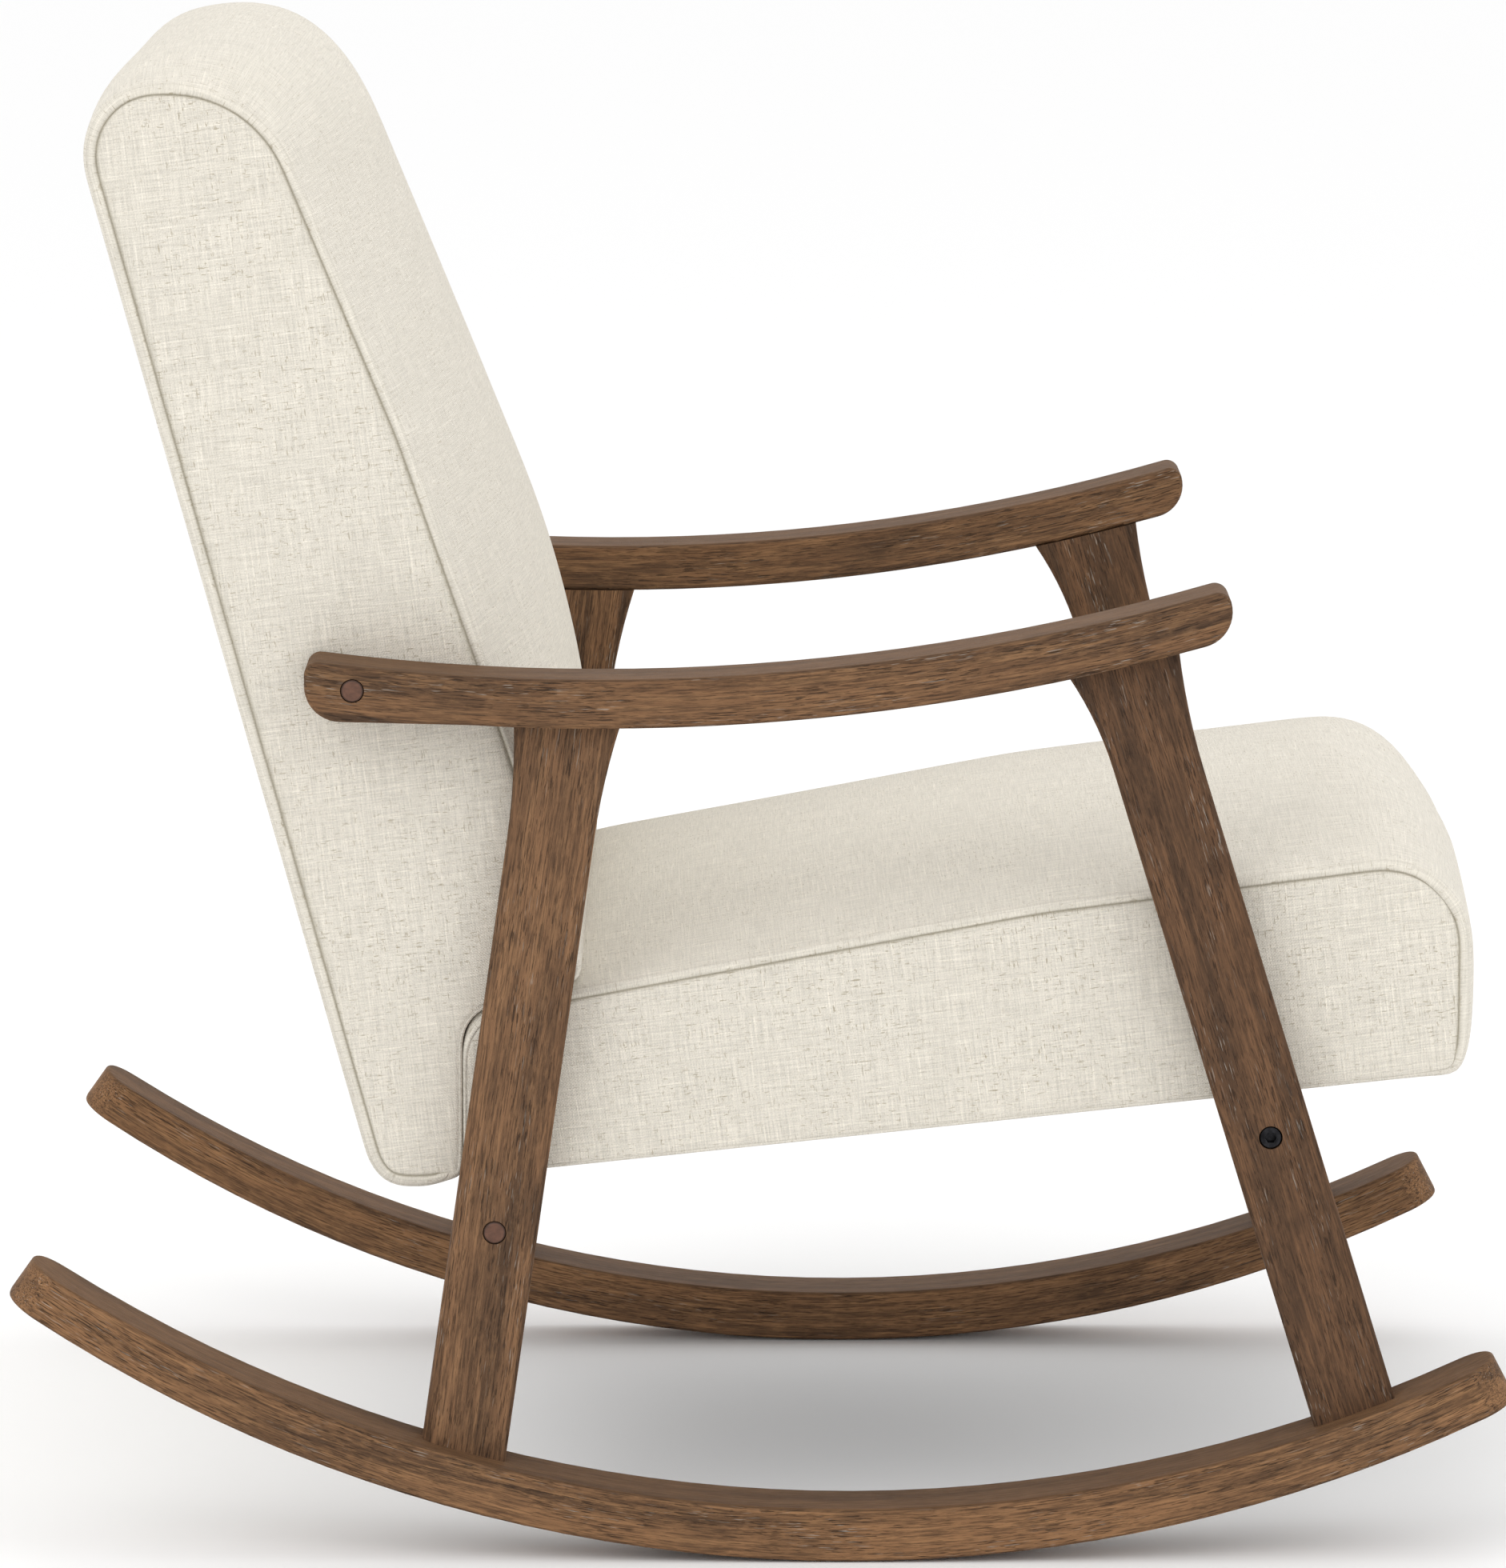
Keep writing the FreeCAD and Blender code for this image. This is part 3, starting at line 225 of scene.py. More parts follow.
def fibre_tone(t, given, layer):
    """The wood's colour before wear: dark and warm streaks over the middle tone."""
    dark, warm = given["Dark Tone"], given["Warm Tone"]
    tone = tint(t, times(t, fade(t, layer["bands"], 0.38, 0.72), 0.8), given["Mid Tone"], dark)
    tone = tint(t, times(t, fade(t, layer["strand"], 0.52, 0.34), 0.55), tone, warm)
    tone = tint(t, times(t, fade(t, layer["blotch"], 0.52, 0.74), 0.7), tone, dark)
    tone = tint(t, times(t, fade(t, layer["fibre"], 0.43, 0.62), 0.64), tone, dark)
    return tint(t, times(t, fade(t, layer["mottle"], 0.45, 0.75), 0.3), tone, warm)


def stained_rim(t, given, parts, patch):
    """A mask of the long edges, where the stain gathers."""
    wide = calc(t, "DIVIDE", calc(t, "ABSOLUTE", parts[1]), given["Half Width"])
    deep = calc(t, "DIVIDE", calc(t, "ABSOLUTE", parts[2]), given["Half Depth"])
    rim = calc(t, "MINIMUM", fade(t, wide, 0.9, 1.0), fade(t, deep, 0.86, 1.0))
    return times(t, rim, fade(t, patch, 0.3, 0.62, 0.4, 0.9))


def brushed_grain():
    """Wire-brushed open grain. Grain Place runs along the grain in X, over the width in Y and
    through the thickness in Z, in metres from the middle of the piece."""
    t, given, out = new_group("brushed_grain", [
        ("Grain Place", "Vector", None), ("Half Width", "Float", 0.02),
        ("Half Depth", "Float", 0.015), ("Mid Tone", "Color", (0.17, 0.09, 0.05, 1)),
        ("Dark Tone", "Color", (0.06, 0.035, 0.02, 1)),
        ("Warm Tone", "Color", (0.23, 0.125, 0.06, 1)),
        ("Pale Tone", "Color", (0.3, 0.27, 0.24, 1)),
        ("Grey Wash", "Float", 0.5), ("Flecks", "Float", 0.6)],
        [("Colour", "Color"), ("Roughness", "Float"), ("Height", "Float")])
    place = given["Grain Place"]
    parts = split(t, place)
    lean = scaled(t, noise(t, stretch(t, place, GRAIN_BEND)), 2 * GRAIN_DRIFT, -GRAIN_DRIFT)
    wavy = join(t, parts[0], calc(t, "ADD", parts[1], lean), calc(t, "ADD", parts[2], lean))
    layer = noises(t, wavy, GRAIN_LAYERS)
    tone = fibre_tone(t, given, layer)

    # upward faces are sanded smoother and look greyer
    up = split(t, add(t, "NewGeometry").outputs["Normal"])[2]
    worn = fade(t, up, 0.55, 0.92)
    tone = tint(t, times(t, worn, given["Grey Wash"]), tone, WASH_TONE)
    tone = tint(t, stained_rim(t, given, parts, layer["patch"]), tone, given["Dark Tone"])

    pores = times(t, fade(t, layer["pores"], 0.57, 0.66),
                  fade(t, layer["patch"], 0.3, 0.6, 0.35, 1.0), scaled(t, worn, -0.7, 1.0))
    tone = tint(t, times(t, pores, 0.75), tone, PORE_TONE)
    flecks = times(t, fade(t, layer["flecks"], 0.61, 0.7), fade(t, layer["patch"], 0.45, 0.68),
                   given["Flecks"], scaled(t, worn, -0.8, 1.0))
    tone = tint(t, flecks, tone, given["Pale Tone"])
    t.links.new(tone, out["Colour"])

    rough = scaled(t, layer["fibre"], 0.22, 0.5)
    t.links.new(scaled(t, pores, 0.2, rough, clamp=True), out["Roughness"])
    height = scaled(t, layer["fibre"], -0.5, 0.75)
    height = scaled(t, pores, -0.45, height)
    t.links.new(scaled(t, layer["bands"], -0.2, height), out["Height"])
    return t


# ---------------------------------------------------------------- woven cloth

# repeats per metre across the warp and along it; shift; detail; roughness
CLOTH_LAYERS = {
    "warp": ((980, 34, 0), (3, 1, 0), 2, 0.6),
    "weft": ((34, 980, 0), (9, 4, 2), 2, 0.6),
    "warp_slub": ((760, 30, 0), (5, 8, 4), 1, 0.5),
    "weft_slub": ((30, 760, 0), (1, 6, 8), 1, 0.5),
    "speck": ((150, 820, 0), (6, 2, 6), 2, 0.6),
    "dash": ((820, 150, 0), (1, 7, 3), 2, 0.6),
    "patch": ((16, 16, 0), (2, 2, 1), 3, 0.6),
    "grit": ((900, 900, 0), (4, 4, 7), 2, 0.6),
}
CLOTH_BEND = (14, 14, 14)  # repeats per metre of the slow bend
CLOTH_DRIFT = 1.2 * MM    # how far a thread strays from straight
MEAN_WEAVE = 0.64         # the weave pattern's mean height


def plain_weave(t, u, v, thread):
    """The height of threads that pass over and under each other, from 0 to 1."""
    step = calc(t, "DIVIDE", math.pi, thread)
    wave_u = calc(t, "SINE", times(t, u, step))
    wave_v = calc(t, "SINE", times(t, v, step))
    over = calc(t, "GREATER_THAN", times(t, wave_u, wave_v), 0.0)
    under = calc(t, "SUBTRACT", 1.0, over)
    return calc(t, "ADD", times(t, over, calc(t, "ABSOLUTE", wave_u)),
                times(t, under, calc(t, "ABSOLUTE", wave_v)))


def woven_cloth():
    """A plain weave with uneven threads. Cloth Place is in metres, warp along Y."""
    t, given, out = new_group("woven_cloth", [
        ("Cloth Place", "Vector", None), ("Thread", "Float", 0.0009),
        ("Unevenness", "Float", 1.0), ("Fleck Amount", "Float", 1.0)],
        [("Tone", "Float"), ("Flecks", "Float"), ("Height", "Float")])
    place = given["Cloth Place"]
    parts = split(t, place)
    drift = noise(t, stretch(t, place, CLOTH_BEND))
    u = scaled(t, drift, CLOTH_DRIFT, parts[0])
    v = scaled(t, drift, -CLOTH_DRIFT, parts[1])
    weave = plain_weave(t, u, v, given["Thread"])
    layer = noises(t, join(t, u, v, parts[2]), CLOTH_LAYERS)

    slubs = calc(t, "MAXIMUM", fade(t, layer["warp_slub"], 0.62, 0.74),
                 fade(t, layer["weft_slub"], 0.62, 0.74))
    slubs = times(t, slubs, given["Unevenness"])
    threads = calc(t, "SUBTRACT", calc(t, "ADD", layer["warp"], layer["weft"]), 1.0)
    threads = times(t, threads, given["Unevenness"])
    tone = scaled(t, threads, 0.52, 1.0)
    tone = scaled(t, calc(t, "SUBTRACT", weave, MEAN_WEAVE), 0.10, tone)
    tone = scaled(t, calc(t, "SUBTRACT", layer["grit"], 0.5), 0.34, tone)
    tone = scaled(t, calc(t, "SUBTRACT", layer["patch"], 0.5), 0.05, tone)
    t.links.new(scaled(t, slubs, 0.13, tone), out["Tone"])

    flecks = calc(t, "MAXIMUM", fade(t, layer["speck"], 0.60, 0.69),
                  fade(t, layer["dash"], 0.61, 0.70))
    flecks = times(t, flecks, fade(t, layer["patch"], 0.35, 0.6, 0.35, 1.0),
                   given["Fleck Amount"])
    t.links.new(flecks, out["Flecks"])
    height = scaled(t, threads, 0.6, weave)
    t.links.new(scaled(t, slubs, 0.5, height), out["Height"])
    return t


GRAIN = brushed_grain()
WEAVE = woven_cloth()


# ---------------------------------------------------------------- where the grain runs

def object_place(tree):
    return add(tree, "TexCoord").outputs["Object"]


def width_place(tree, parts, middle):
    """Distance over a side piece's width, from its middle."""
    return calc(tree, "SUBTRACT", calc(tree, "ABSOLUTE", parts[1]), middle)


def own_side(tree, parts, shift, along):
    """The two sides of the chair are cut from unlike stretches of timber."""
    return scaled(tree, calc(tree, "SIGN", parts[1]), shift, along)


def grain_on_arc(tree, centre, radius, middle):
    """Grain that follows an arc in the side view."""
    parts = split(tree, object_place(tree))
    dx = calc(tree, "SUBTRACT", parts[0], centre[0])
    dz = calc(tree, "SUBTRACT", centre[1], parts[2])
    along = times(tree, calc(tree, "ARCTAN2", dx, dz), radius)
    reach = calc(tree, "SQRT", calc(tree, "ADD", times(tree, dx, dx), times(tree, dz, dz)))
    return join(tree, own_side(tree, parts, 2.7, along), width_place(tree, parts, middle),
                calc(tree, "SUBTRACT", reach, radius))


def grain_on_line(tree, foot, head, middle, shift):
    """Grain that follows a straight leg in the side view."""
    parts = split(tree, object_place(tree))
    length = math.dist(foot, head)
    way = ((head[0] - foot[0]) / length, (head[1] - foot[1]) / length)
    dx = calc(tree, "SUBTRACT", parts[0], foot[0])
    dz = calc(tree, "SUBTRACT", parts[2], foot[1])
    along = calc(tree, "ADD", times(tree, dx, way[0]), times(tree, dz, way[1]))
    along = own_side(tree, parts, 3.1, along)
    deep = calc(tree, "SUBTRACT", times(tree, dx, way[1]), times(tree, dz, way[0]))
    return join(tree, calc(tree, "ADD", along, shift), width_place(tree, parts, middle), deep)


def grain_across(tree, foot):
    """Grain that follows a bar from side to side."""
    parts = split(tree, object_place(tree))
    return join(tree, parts[1], calc(tree, "SUBTRACT", parts[0], foot[0]),
                calc(tree, "SUBTRACT", parts[2], foot[1]))


# ---------------------------------------------------------------- show wood

PALE_FLECK = (0.36, 0.32, 0.275)
BRUSH_DEPTH = 0.7 * MM


def oiled_wood(name, place, half_width, half_depth, mid=(0.194, 0.101, 0.050),
               dark=(0.058, 0.034, 0.021), warm=(0.30, 0.165, 0.08), grey=0.5, flecks=0.6):
    finish, tree, shader = new_finish(name, specular_ior_level=0.12)
    got = place_group(tree, GRAIN, {
        "Grain Place": place(tree), "Half Width": half_width, "Half Depth": half_depth,
        "Mid Tone": mid, "Dark Tone": dark, "Warm Tone": warm, "Pale Tone": PALE_FLECK,
        "Grey Wash": grey, "Flecks": flecks})
    tree.links.new(got["Colour"], shader.inputs["Base Color"])
    tree.links.new(got["Roughness"], shader.inputs["Roughness"])
    raise_surface(tree, shader, got["Height"], BRUSH_DEPTH)
    return finish


def dress(node, finish):
    """Give a CAD node its finish."""
    slots = NODES[node].data.materials
    if len(slots) == 0:
        slots.append(finish)
    for k in range(len(slots)):
        slots[k] = finish


def middle_of(node):
    low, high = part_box(node)
    return (low + high) / 2


def half_width_of(node):
    low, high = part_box(node)
    return (high.y - low.y) / 2


# each kind of timber in the side view, as (x, z): the lowest point and radius of a bent piece,
# and the foot and head of a leg's middle line
ROCKER_LOW = (0.051, 0.0)
ROCKER_RADIUS = 0.856
ROCKER_THICK = 0.0317
ARM_LOW = (-0.095, 0.498)
ARM_RADIUS = 1.3145
ARM_THICK = 0.029
FRONT_LEG_LINE = ((0.299, 0.252), (0.2225, 0.5))
REAR_LEG_LINE = ((-0.1575, 0.195), (-0.1135, 0.5))
LEG_WIDTH = 0.0506
STRETCHER_HALF = (0.016, 0.022)   # about half its thickness and height


def bent_wood(kind, low, radius, thick, **tones):
    """Wood for a pair of bent pieces, with its grain round the bend."""
    node = kind + "_left"
    centre = (low[0], low[1] + radius)
    return oiled_wood(
        kind + "_wood",
        lambda tree: grain_on_arc(tree, centre, radius - thick / 2, middle_of(node).y),
        half_width_of(node), thick / 2, **tones)


def leg_wood(kind, line, shift, **tones):
    """Wood for a pair of legs, with its grain from foot to head."""
    node = kind + "_left"
    return oiled_wood(
        kind + "_wood", lambda tree: grain_on_line(tree, *line, middle_of(node).y, shift),
        half_width_of(node), LEG_WIDTH / 2, **tones)


SHOW_WOOD = {
    "rocker": bent_wood("rocker", ROCKER_LOW, ROCKER_RADIUS, ROCKER_THICK,
                        mid=(0.258, 0.135, 0.065), warm=(0.365, 0.197, 0.092)),
    "armrest": bent_wood("armrest", ARM_LOW, ARM_RADIUS, ARM_THICK),
    "front_leg": leg_wood("front_leg", FRONT_LEG_LINE, 5.3,
                          mid=(0.138, 0.072, 0.038), warm=(0.208, 0.108, 0.055)),
    "rear_leg": leg_wood("rear_leg", REAR_LEG_LINE, 9.1,
                         mid=(0.213, 0.113, 0.058), warm=(0.30, 0.165, 0.083)),
}
for kind, finish in SHOW_WOOD.items():
    for side in SIDES:
        dress(kind + "_" + side, finish)
for bar in ("front_stretcher", "rear_stretcher"):
    middle = middle_of(bar)
    dress(bar, oiled_wood(bar + "_wood", lambda tree: grain_across(tree, (middle.x, middle.z)),
                          *STRETCHER_HALF, grey=0.3))


# ---------------------------------------------------------------- small parts' finishes

def plug_finish():
    """Smooth reddish buttons, with painted shade that darkens their rounded rims."""
    finish, tree, shader = new_finish("plug_wood", coat_weight=0.08, coat_roughness=0.3,
                                      specular_ior_level=0.3)
    place = object_place(tree)
    cloudy = noise(tree, stretch(tree, place, (240, 240, 240)), 3, 0.6)
    fibre = noise(tree, stretch(tree, place, (160, 900, 700)), 2, 0.6)
    tone = tint(tree, fade(tree, cloudy, 0.3, 0.7), (0.135, 0.060, 0.036), (0.096, 0.043, 0.026))
    tone = tint(tree, times(tree, fade(tree, fibre, 0.5, 0.75), 0.4), tone, (0.062, 0.03, 0.02))
    # painted shade: where the button's surface turns away from its flat face, its colour is
    # darkened as if in shade
    side = split(tree, add(tree, "NewGeometry").outputs["Normal"])[1]
    rim = fade(tree, calc(tree, "ABSOLUTE", side), 0.98, 0.75)
    tone = tint(tree, times(tree, rim, 0.8), tone, (0.035, 0.02, 0.014))
    tree.links.new(tone, shader.inputs["Base Color"])
    tree.links.new(scaled(tree, cloudy, 0.2, 0.35), shader.inputs["Roughness"])
    raise_surface(tree, shader, fibre, 0.2 * MM)
    return finish


def steel_finish(name, tone, worn, roughness):
    """Plated or blackened steel with faint turning marks."""
    finish, tree, shader = new_finish(name, metallic=1.0)
    place = object_place(tree)
    rings = noise(tree, stretch(tree, place, (900, 120, 900)), 2, 0.5)
    smear = noise(tree, stretch(tree, place, (90, 90, 90), (3, 1, 5)), 3, 0.6)
    tree.links.new(tint(tree, fade(tree, smear, 0.4, 0.75), tone, worn),
                   shader.inputs["Base Color"])
    # the marks' mean is about a half, so the roughness stays round the value given
    tree.links.new(scaled(tree, rings, 0.25, roughness - 0.12), shader.inputs["Roughness"])
    raise_surface(tree, shader, rings, 0.08 * MM)
    return finish


RIMLESS = 1.0             # a half width past any rail's, so that no dark rim shows


def timber_finish(name, place):
    """Plain pale timber for the frames inside the cushions."""
    return oiled_wood(name, place, RIMLESS, RIMLESS, mid=(0.56, 0.40, 0.24),
                      dark=(0.40, 0.25, 0.13), warm=(0.62, 0.44, 0.26), grey=0.0, flecks=0.0)


# ---------------------------------------------------------------- cloth finishes

# painted shade: a dark tone for the seams' grooves, a softer one beside them and one for a line
# along the welt's edge
GROOVE_SHADE_TONE = (0.24, 0.205, 0.13)
SEAM_SHADE = (0.45, 0.42, 0.33)
WELT_SHADE = (0.42, 0.385, 0.30)


def sew(tree, gap, wrap, colour, height):
    """Paint shade into a cloth's seam grooves and, more faintly, beside them; lift a flat welt
    on the wrap's side of them and paint a shadow line along its edge. The gap is the distance
    from the seam, below 0 on the side panel."""
    away = calc(tree, "ABSOLUTE", gap)
    # painted shade in the seam's groove
    groove_shade = fade(tree, away, 0.9 * MM, 0.2 * MM)
    colour = tint(tree, times(tree, groove_shade, 0.6), colour, GROOVE_SHADE_TONE)
    # painted shade: a faint darkening up to 5 mm either side of the seam
    shade = fade(tree, away, 5 * MM, 1 * MM)
    colour = tint(tree, times(tree, shade, 0.12), colour, SEAM_SHADE)
    welt = times(tree, fade(tree, gap, 7.8 * MM, 6 * MM), wrap)
    # painted shadow: a faint dark line along the welt's edge, 5.5 to 8.5 mm from the seam
    edge = times(tree, fade(tree, gap, 5.5 * MM, 6.8 * MM), fade(tree, gap, 8.5 * MM, 7 * MM))
    colour = tint(tree, times(tree, edge, 0.14), colour, WELT_SHADE)
    return colour, scaled(tree, welt, 2.6, height)


def cloth_finish(name, tone, fleck_tone, thread, place, roughness=0.85, flecks=1.0,
                 depth=0.3 * MM, seams=False, **surface):
    """A woven finish; with seams it has painted shade in and beside the grooves and lifts beside
    them.
    """
    finish, tree, shader = new_finish(name, roughness=roughness, **surface)
    uneven = 1.0
    if seams:
        gap = add(tree, "Attribute", attribute_name="seam_gap").outputs["Fac"]
        wrap = fade(tree, gap, -0.5 * MM, 3 * MM)
        uneven = scaled(tree, wrap, -0.25, 1.0)
        flecks = scaled(tree, wrap, -0.35, 1.0)
    got = place_group(tree, WEAVE, {"Cloth Place": place(tree), "Thread": thread,
                                    "Unevenness": uneven, "Fleck Amount": flecks})
    shade = join(tree, got["Tone"], got["Tone"], got["Tone"])
    colour = tint(tree, 1.0, tone, shade, mode="MULTIPLY")
    colour = tint(tree, times(tree, got["Flecks"], 0.85), colour, fleck_tone)
    height = got["Height"]
    if seams:
        colour, height = sew(tree, gap, wrap, colour, height)
    tree.links.new(colour, shader.inputs["Base Color"])
    raise_surface(tree, shader, height, depth, 0.6)
    return finish


def uv_place(tree):
    return add(tree, "UVMap", uv_map="cloth").outputs[0]


LINEN = cloth_finish("linen", (0.732, 0.689, 0.604), (0.41, 0.355, 0.26), 0.9 * MM, uv_place,
                     roughness=0.9, seams=True, sheen_weight=0.12, sheen_roughness=0.5,
                     specular_ior_level=0.2)
WEBBING = cloth_finish("webbing", (0.05, 0.05, 0.055), (0.12, 0.12, 0.12), 1.8 * MM,
                       object_place, flecks=0.0)
DUST_CLOTH = cloth_finish("dust_cloth", (0.018, 0.018, 0.02), (0.05, 0.05, 0.05), 1.1 * MM,
                          object_place, roughness=0.95, flecks=0.4, depth=0.2 * MM)
BLACK_STEEL = steel_finish("black_steel", (0.012, 0.012, 0.013), (0.05, 0.05, 0.055), 0.42)
ZINC_STEEL = steel_finish("zinc_steel", (0.55, 0.56, 0.58), (0.7, 0.7, 0.68), 0.35)
PLUG = plug_finish()
BACK_STILE_LINE = ((-0.22, 0.22), (-0.38, 0.8))
BACK_STILE_MIDDLE = 0.24
TIMBER_FORE_AND_AFT = timber_finish("timber_fore_and_aft", object_place)
TIMBER_CROSSWISE = timber_finish("timber_crosswise", lambda tree: grain_across(tree, (0, 0)))
TIMBER_UPRIGHT = timber_finish("timber_upright", lambda tree: grain_on_line(
    tree, *BACK_STILE_LINE, BACK_STILE_MIDDLE, 0))

FINISHES = {
    PLUG: ["rear_leg_plugs", "armrest_plugs"],
    BLACK_STEEL: ["front_leg_bolts", "rear_leg_bolts", "armrest_bolts"],
    ZINC_STEEL: ["barrel_nuts", "armrest_inserts", "seat_fixing_bolts", "back_joint_bolts"],
    WEBBING: ["seat_webbing", "back_webbing"],
    DUST_CLOTH: ["seat_dust_cover"],
    TIMBER_FORE_AND_AFT: ["seat_side_rail_left", "seat_side_rail_right"],
    TIMBER_CROSSWISE: ["seat_rear_rail", "seat_front_rail", "seat_cross_rail",
                       "seat_corner_blocks", "back_bottom_rail", "back_middle_rail",
                       "back_top_rail", "stretcher_dowels"],
    TIMBER_UPRIGHT: ["back_stile_left", "back_stile_right"],
}
for finish, members in FINISHES.items():
    for node in members:
        dress(node, finish)


# ---------------------------------------------------------------- upholstery outlines

def loop_length(points):
    return sum(math.dist(a, b) for a, b in zip(points, points[1:] + points[:1]))


def rim_edges(panel):
    """The edges used once by a CAD panel's outer face, as each point's neighbours."""
    mesh = NODES[panel].data
    reach = max(abs(v.co.y) for v in mesh.vertices)
    uses = {}
    for face in mesh.polygons:
        corners = [mesh.vertices[i].co for i in face.vertices]
        if min(abs(c.y) for c in corners) < reach - 0.01 * MM:
            continue
        keys = [(round(c.x, 5), round(c.z, 5)) for c in corners]
        for a, b in zip(keys, keys[1:] + keys[:1]):
            if a != b:
                edge = (min(a, b), max(a, b))
                uses[edge] = uses.get(edge, 0) + 1
    links = {}
    for (a, b), count in sorted(uses.items()):
        if count == 1:
            links.setdefault(a, []).append(b)
            links.setdefault(b, []).append(a)
    return links


def panel_outline(panel):
    """The side outline of a CAD side panel, anticlockwise, as (x, z) points."""
    links = rim_edges(panel)
    loops, left = [], set(links)
    while left:
        start = min(left)
        loop, last = [start], None
        left.discard(start)
        while True:
            ahead = [p for p in links[loop[-1]] if p != last and p in left]
            if not ahead:
                break
            last = loop[-1]
            loop.append(ahead[0])
            left.discard(ahead[0])
        loops.append(loop)
    loop = max(loops, key=loop_length)
    turn = sum(a[0] * b[1] - b[0] * a[1] for a, b in zip(loop, loop[1:] + loop[:1]))
    return loop if turn > 0 else loop[::-1]


def cut_at(loop, corners):
    """The loop cut into runs between the points nearest to the corners."""
    marks = [min(range(len(loop)), key=lambda k: math.dist(loop[k], c)) for c in corners]
    runs = []
    for a, b in zip(marks, marks[1:] + marks[:1]):
        count = (b - a) % len(loop)
        runs.append([loop[(a + k) % len(loop)] for k in range(count + 1)])
    return runs


def even(points, count):
    """count + 1 points spaced evenly along a run."""
    ways = [0.0]
    for a, b in zip(points, points[1:]):
        ways.append(ways[-1] + math.dist(a, b))
    out, k = [], 0
    for j in range(count + 1):
        want = ways[-1] * j / count
        while k < len(points) - 2 and ways[k + 1] < want:
            k += 1
        gap = ways[k + 1] - ways[k]
        t = min(max((want - ways[k]) / gap, 0.0), 1.0) if gap > 0 else 0.0
        out.append(tuple(blend(points[k][i], points[k + 1][i], t) for i in (0, 1)))
    return out


def outward(points):
    """Unit normals of a closed anticlockwise loop in the side view."""
    out = []
    for k in range(len(points)):
        a, b = points[k - 1], points[(k + 1) % len(points)]
        dx, dz = b[0] - a[0], b[1] - a[1]
        size = math.hypot(dx, dz) or 1.0
        out.append((dz / size, -dx / size))
    return out


def eased(values, reach):
    """A closed run of numbers, each averaged with its neighbours."""
    n = len(values)
    span = range(-reach, reach + 1)
    weights = [reach + 1 - abs(k) for k in span]
    return [sum(values[(j + k) % n] * w for k, w in zip(span, weights)) / sum(weights)
            for j in range(n)]


def moved(points, ways, amounts):
    return [(p[0] + w[0] * a, p[1] + w[1] * a) for p, w, a in zip(points, ways, amounts)]


def patch_grid(rim, n, m):
    """A grid of points that fills a rim of 2 (n + m) points, starting at a corner."""
    total = len(rim)
    south = rim[:n + 1]
    east = rim[n:n + m + 1]
    north = rim[n + m:2 * n + m + 1][::-1]
    west = ([rim[(2 * n + m + k) % total] for k in range(m + 1)])[::-1]
    grid = []
    for j in range(m + 1):
        t = j / m
        row = []
        for i in range(n + 1):
            s = i / n
            point = []
            for axis in (0, 1):
                ruled = (blend(south[i][axis], north[i][axis], t)
                         + blend(west[j][axis], east[j][axis], s))
                corner = blend(blend(south[0][axis], south[n][axis], s),
                               blend(north[0][axis], north[n][axis], s), t)
                point.append(ruled - corner)
            row.append(tuple(point))
        grid.append(row)
    return grid


def grid_rim(n, m):
    """The rim of an n by m grid, in the order of patch_grid's rim."""
    return ([(i, 0) for i in range(n)] + [(n, j) for j in range(m)]
            + [(i, m) for i in range(n, 0, -1)] + [(0, j) for j in range(m, 0, -1)])


# ---------------------------------------------------------------- upholstery pads

SUPPORT = 0.9 * MM        # from a seam to the loops that hold its groove
SEAM_DEPTH = 1.3 * MM     # how deep a seam is pressed in
FLUSH_ROLL = 1.6 * MM     # rounding where the wrap is flush with the side panel
PROUD_ROLL = 8 * MM       # roll where the wrap stands proud of the side panel
ROLL_ANGLES = (38, 66, 90)            # degrees round the roll, past the two rings at the seam
ROLL_HOLD = (1.0, 1.0, 1.0, 0.5, 0.0)  # how firmly each ring is held while stuffing
PLAIN = 20 * MM           # added to the seam distance where no seam shows
SPACING = 8.5 * MM        # between a pad's rings
UNDERSIDE_SET = 1.7 * MM  # how far the underside lies inside its edges
PANEL_LEAN = math.radians(7)   # how much the side panels' weft rises to the front
PANEL_SHIFT = 3.0              # sets the panels' cloth apart from the wrap's


def roll_rings(roll):
    """(way in from the side face, way out from the outline, way from the seam) of each ring."""
    angles = [0.0, SUPPORT / roll] + [math.radians(a) for a in ROLL_ANGLES]
    return [(roll * (1 - math.cos(a)), roll * math.sin(a), roll * a) for a in angles]


def panel_uv(spot, side):
    """Cloth place on a side panel; its weft rises a little towards the front."""
    turn_cos, turn_sin = math.cos(PANEL_LEAN), math.sin(PANEL_LEAN)
    return (side * PANEL_SHIFT + spot.x * turn_cos + spot.z * turn_sin,
            spot.z * turn_cos - spot.x * turn_sin)


class PadMesh:
    """A mesh whose points know their way from a seam and how firmly they are held."""

    def __init__(self):
        self.mesh = bmesh.new()
        self.gap = self.mesh.verts.layers.float.new("seam_gap")
        self.held = self.mesh.verts.layers.float.new("held")
        self.uv = self.mesh.loops.layers.uv.new("cloth")

    def point(self, place, gap, held):
        vert = self.mesh.verts.new(place)
        vert[self.gap] = gap
        vert[self.held] = held
        return vert

    def quad(self, verts, uvs):
        face = self.mesh.faces.new(verts)
        face.smooth = True
        for loop, uv in zip(face.loops, uvs):
            loop[self.uv].uv = uv

    def panel_quad(self, verts, side):
        self.quad(verts, [panel_uv(vert.co, side) for vert in verts])

    def finished(self, name):
        bmesh.ops.recalc_face_normals(self.mesh, faces=self.mesh.faces)
        data = bpy.data.meshes.new(name)
        self.mesh.to_mesh(data)
        self.mesh.free()
        return place_in_scene(name, data)


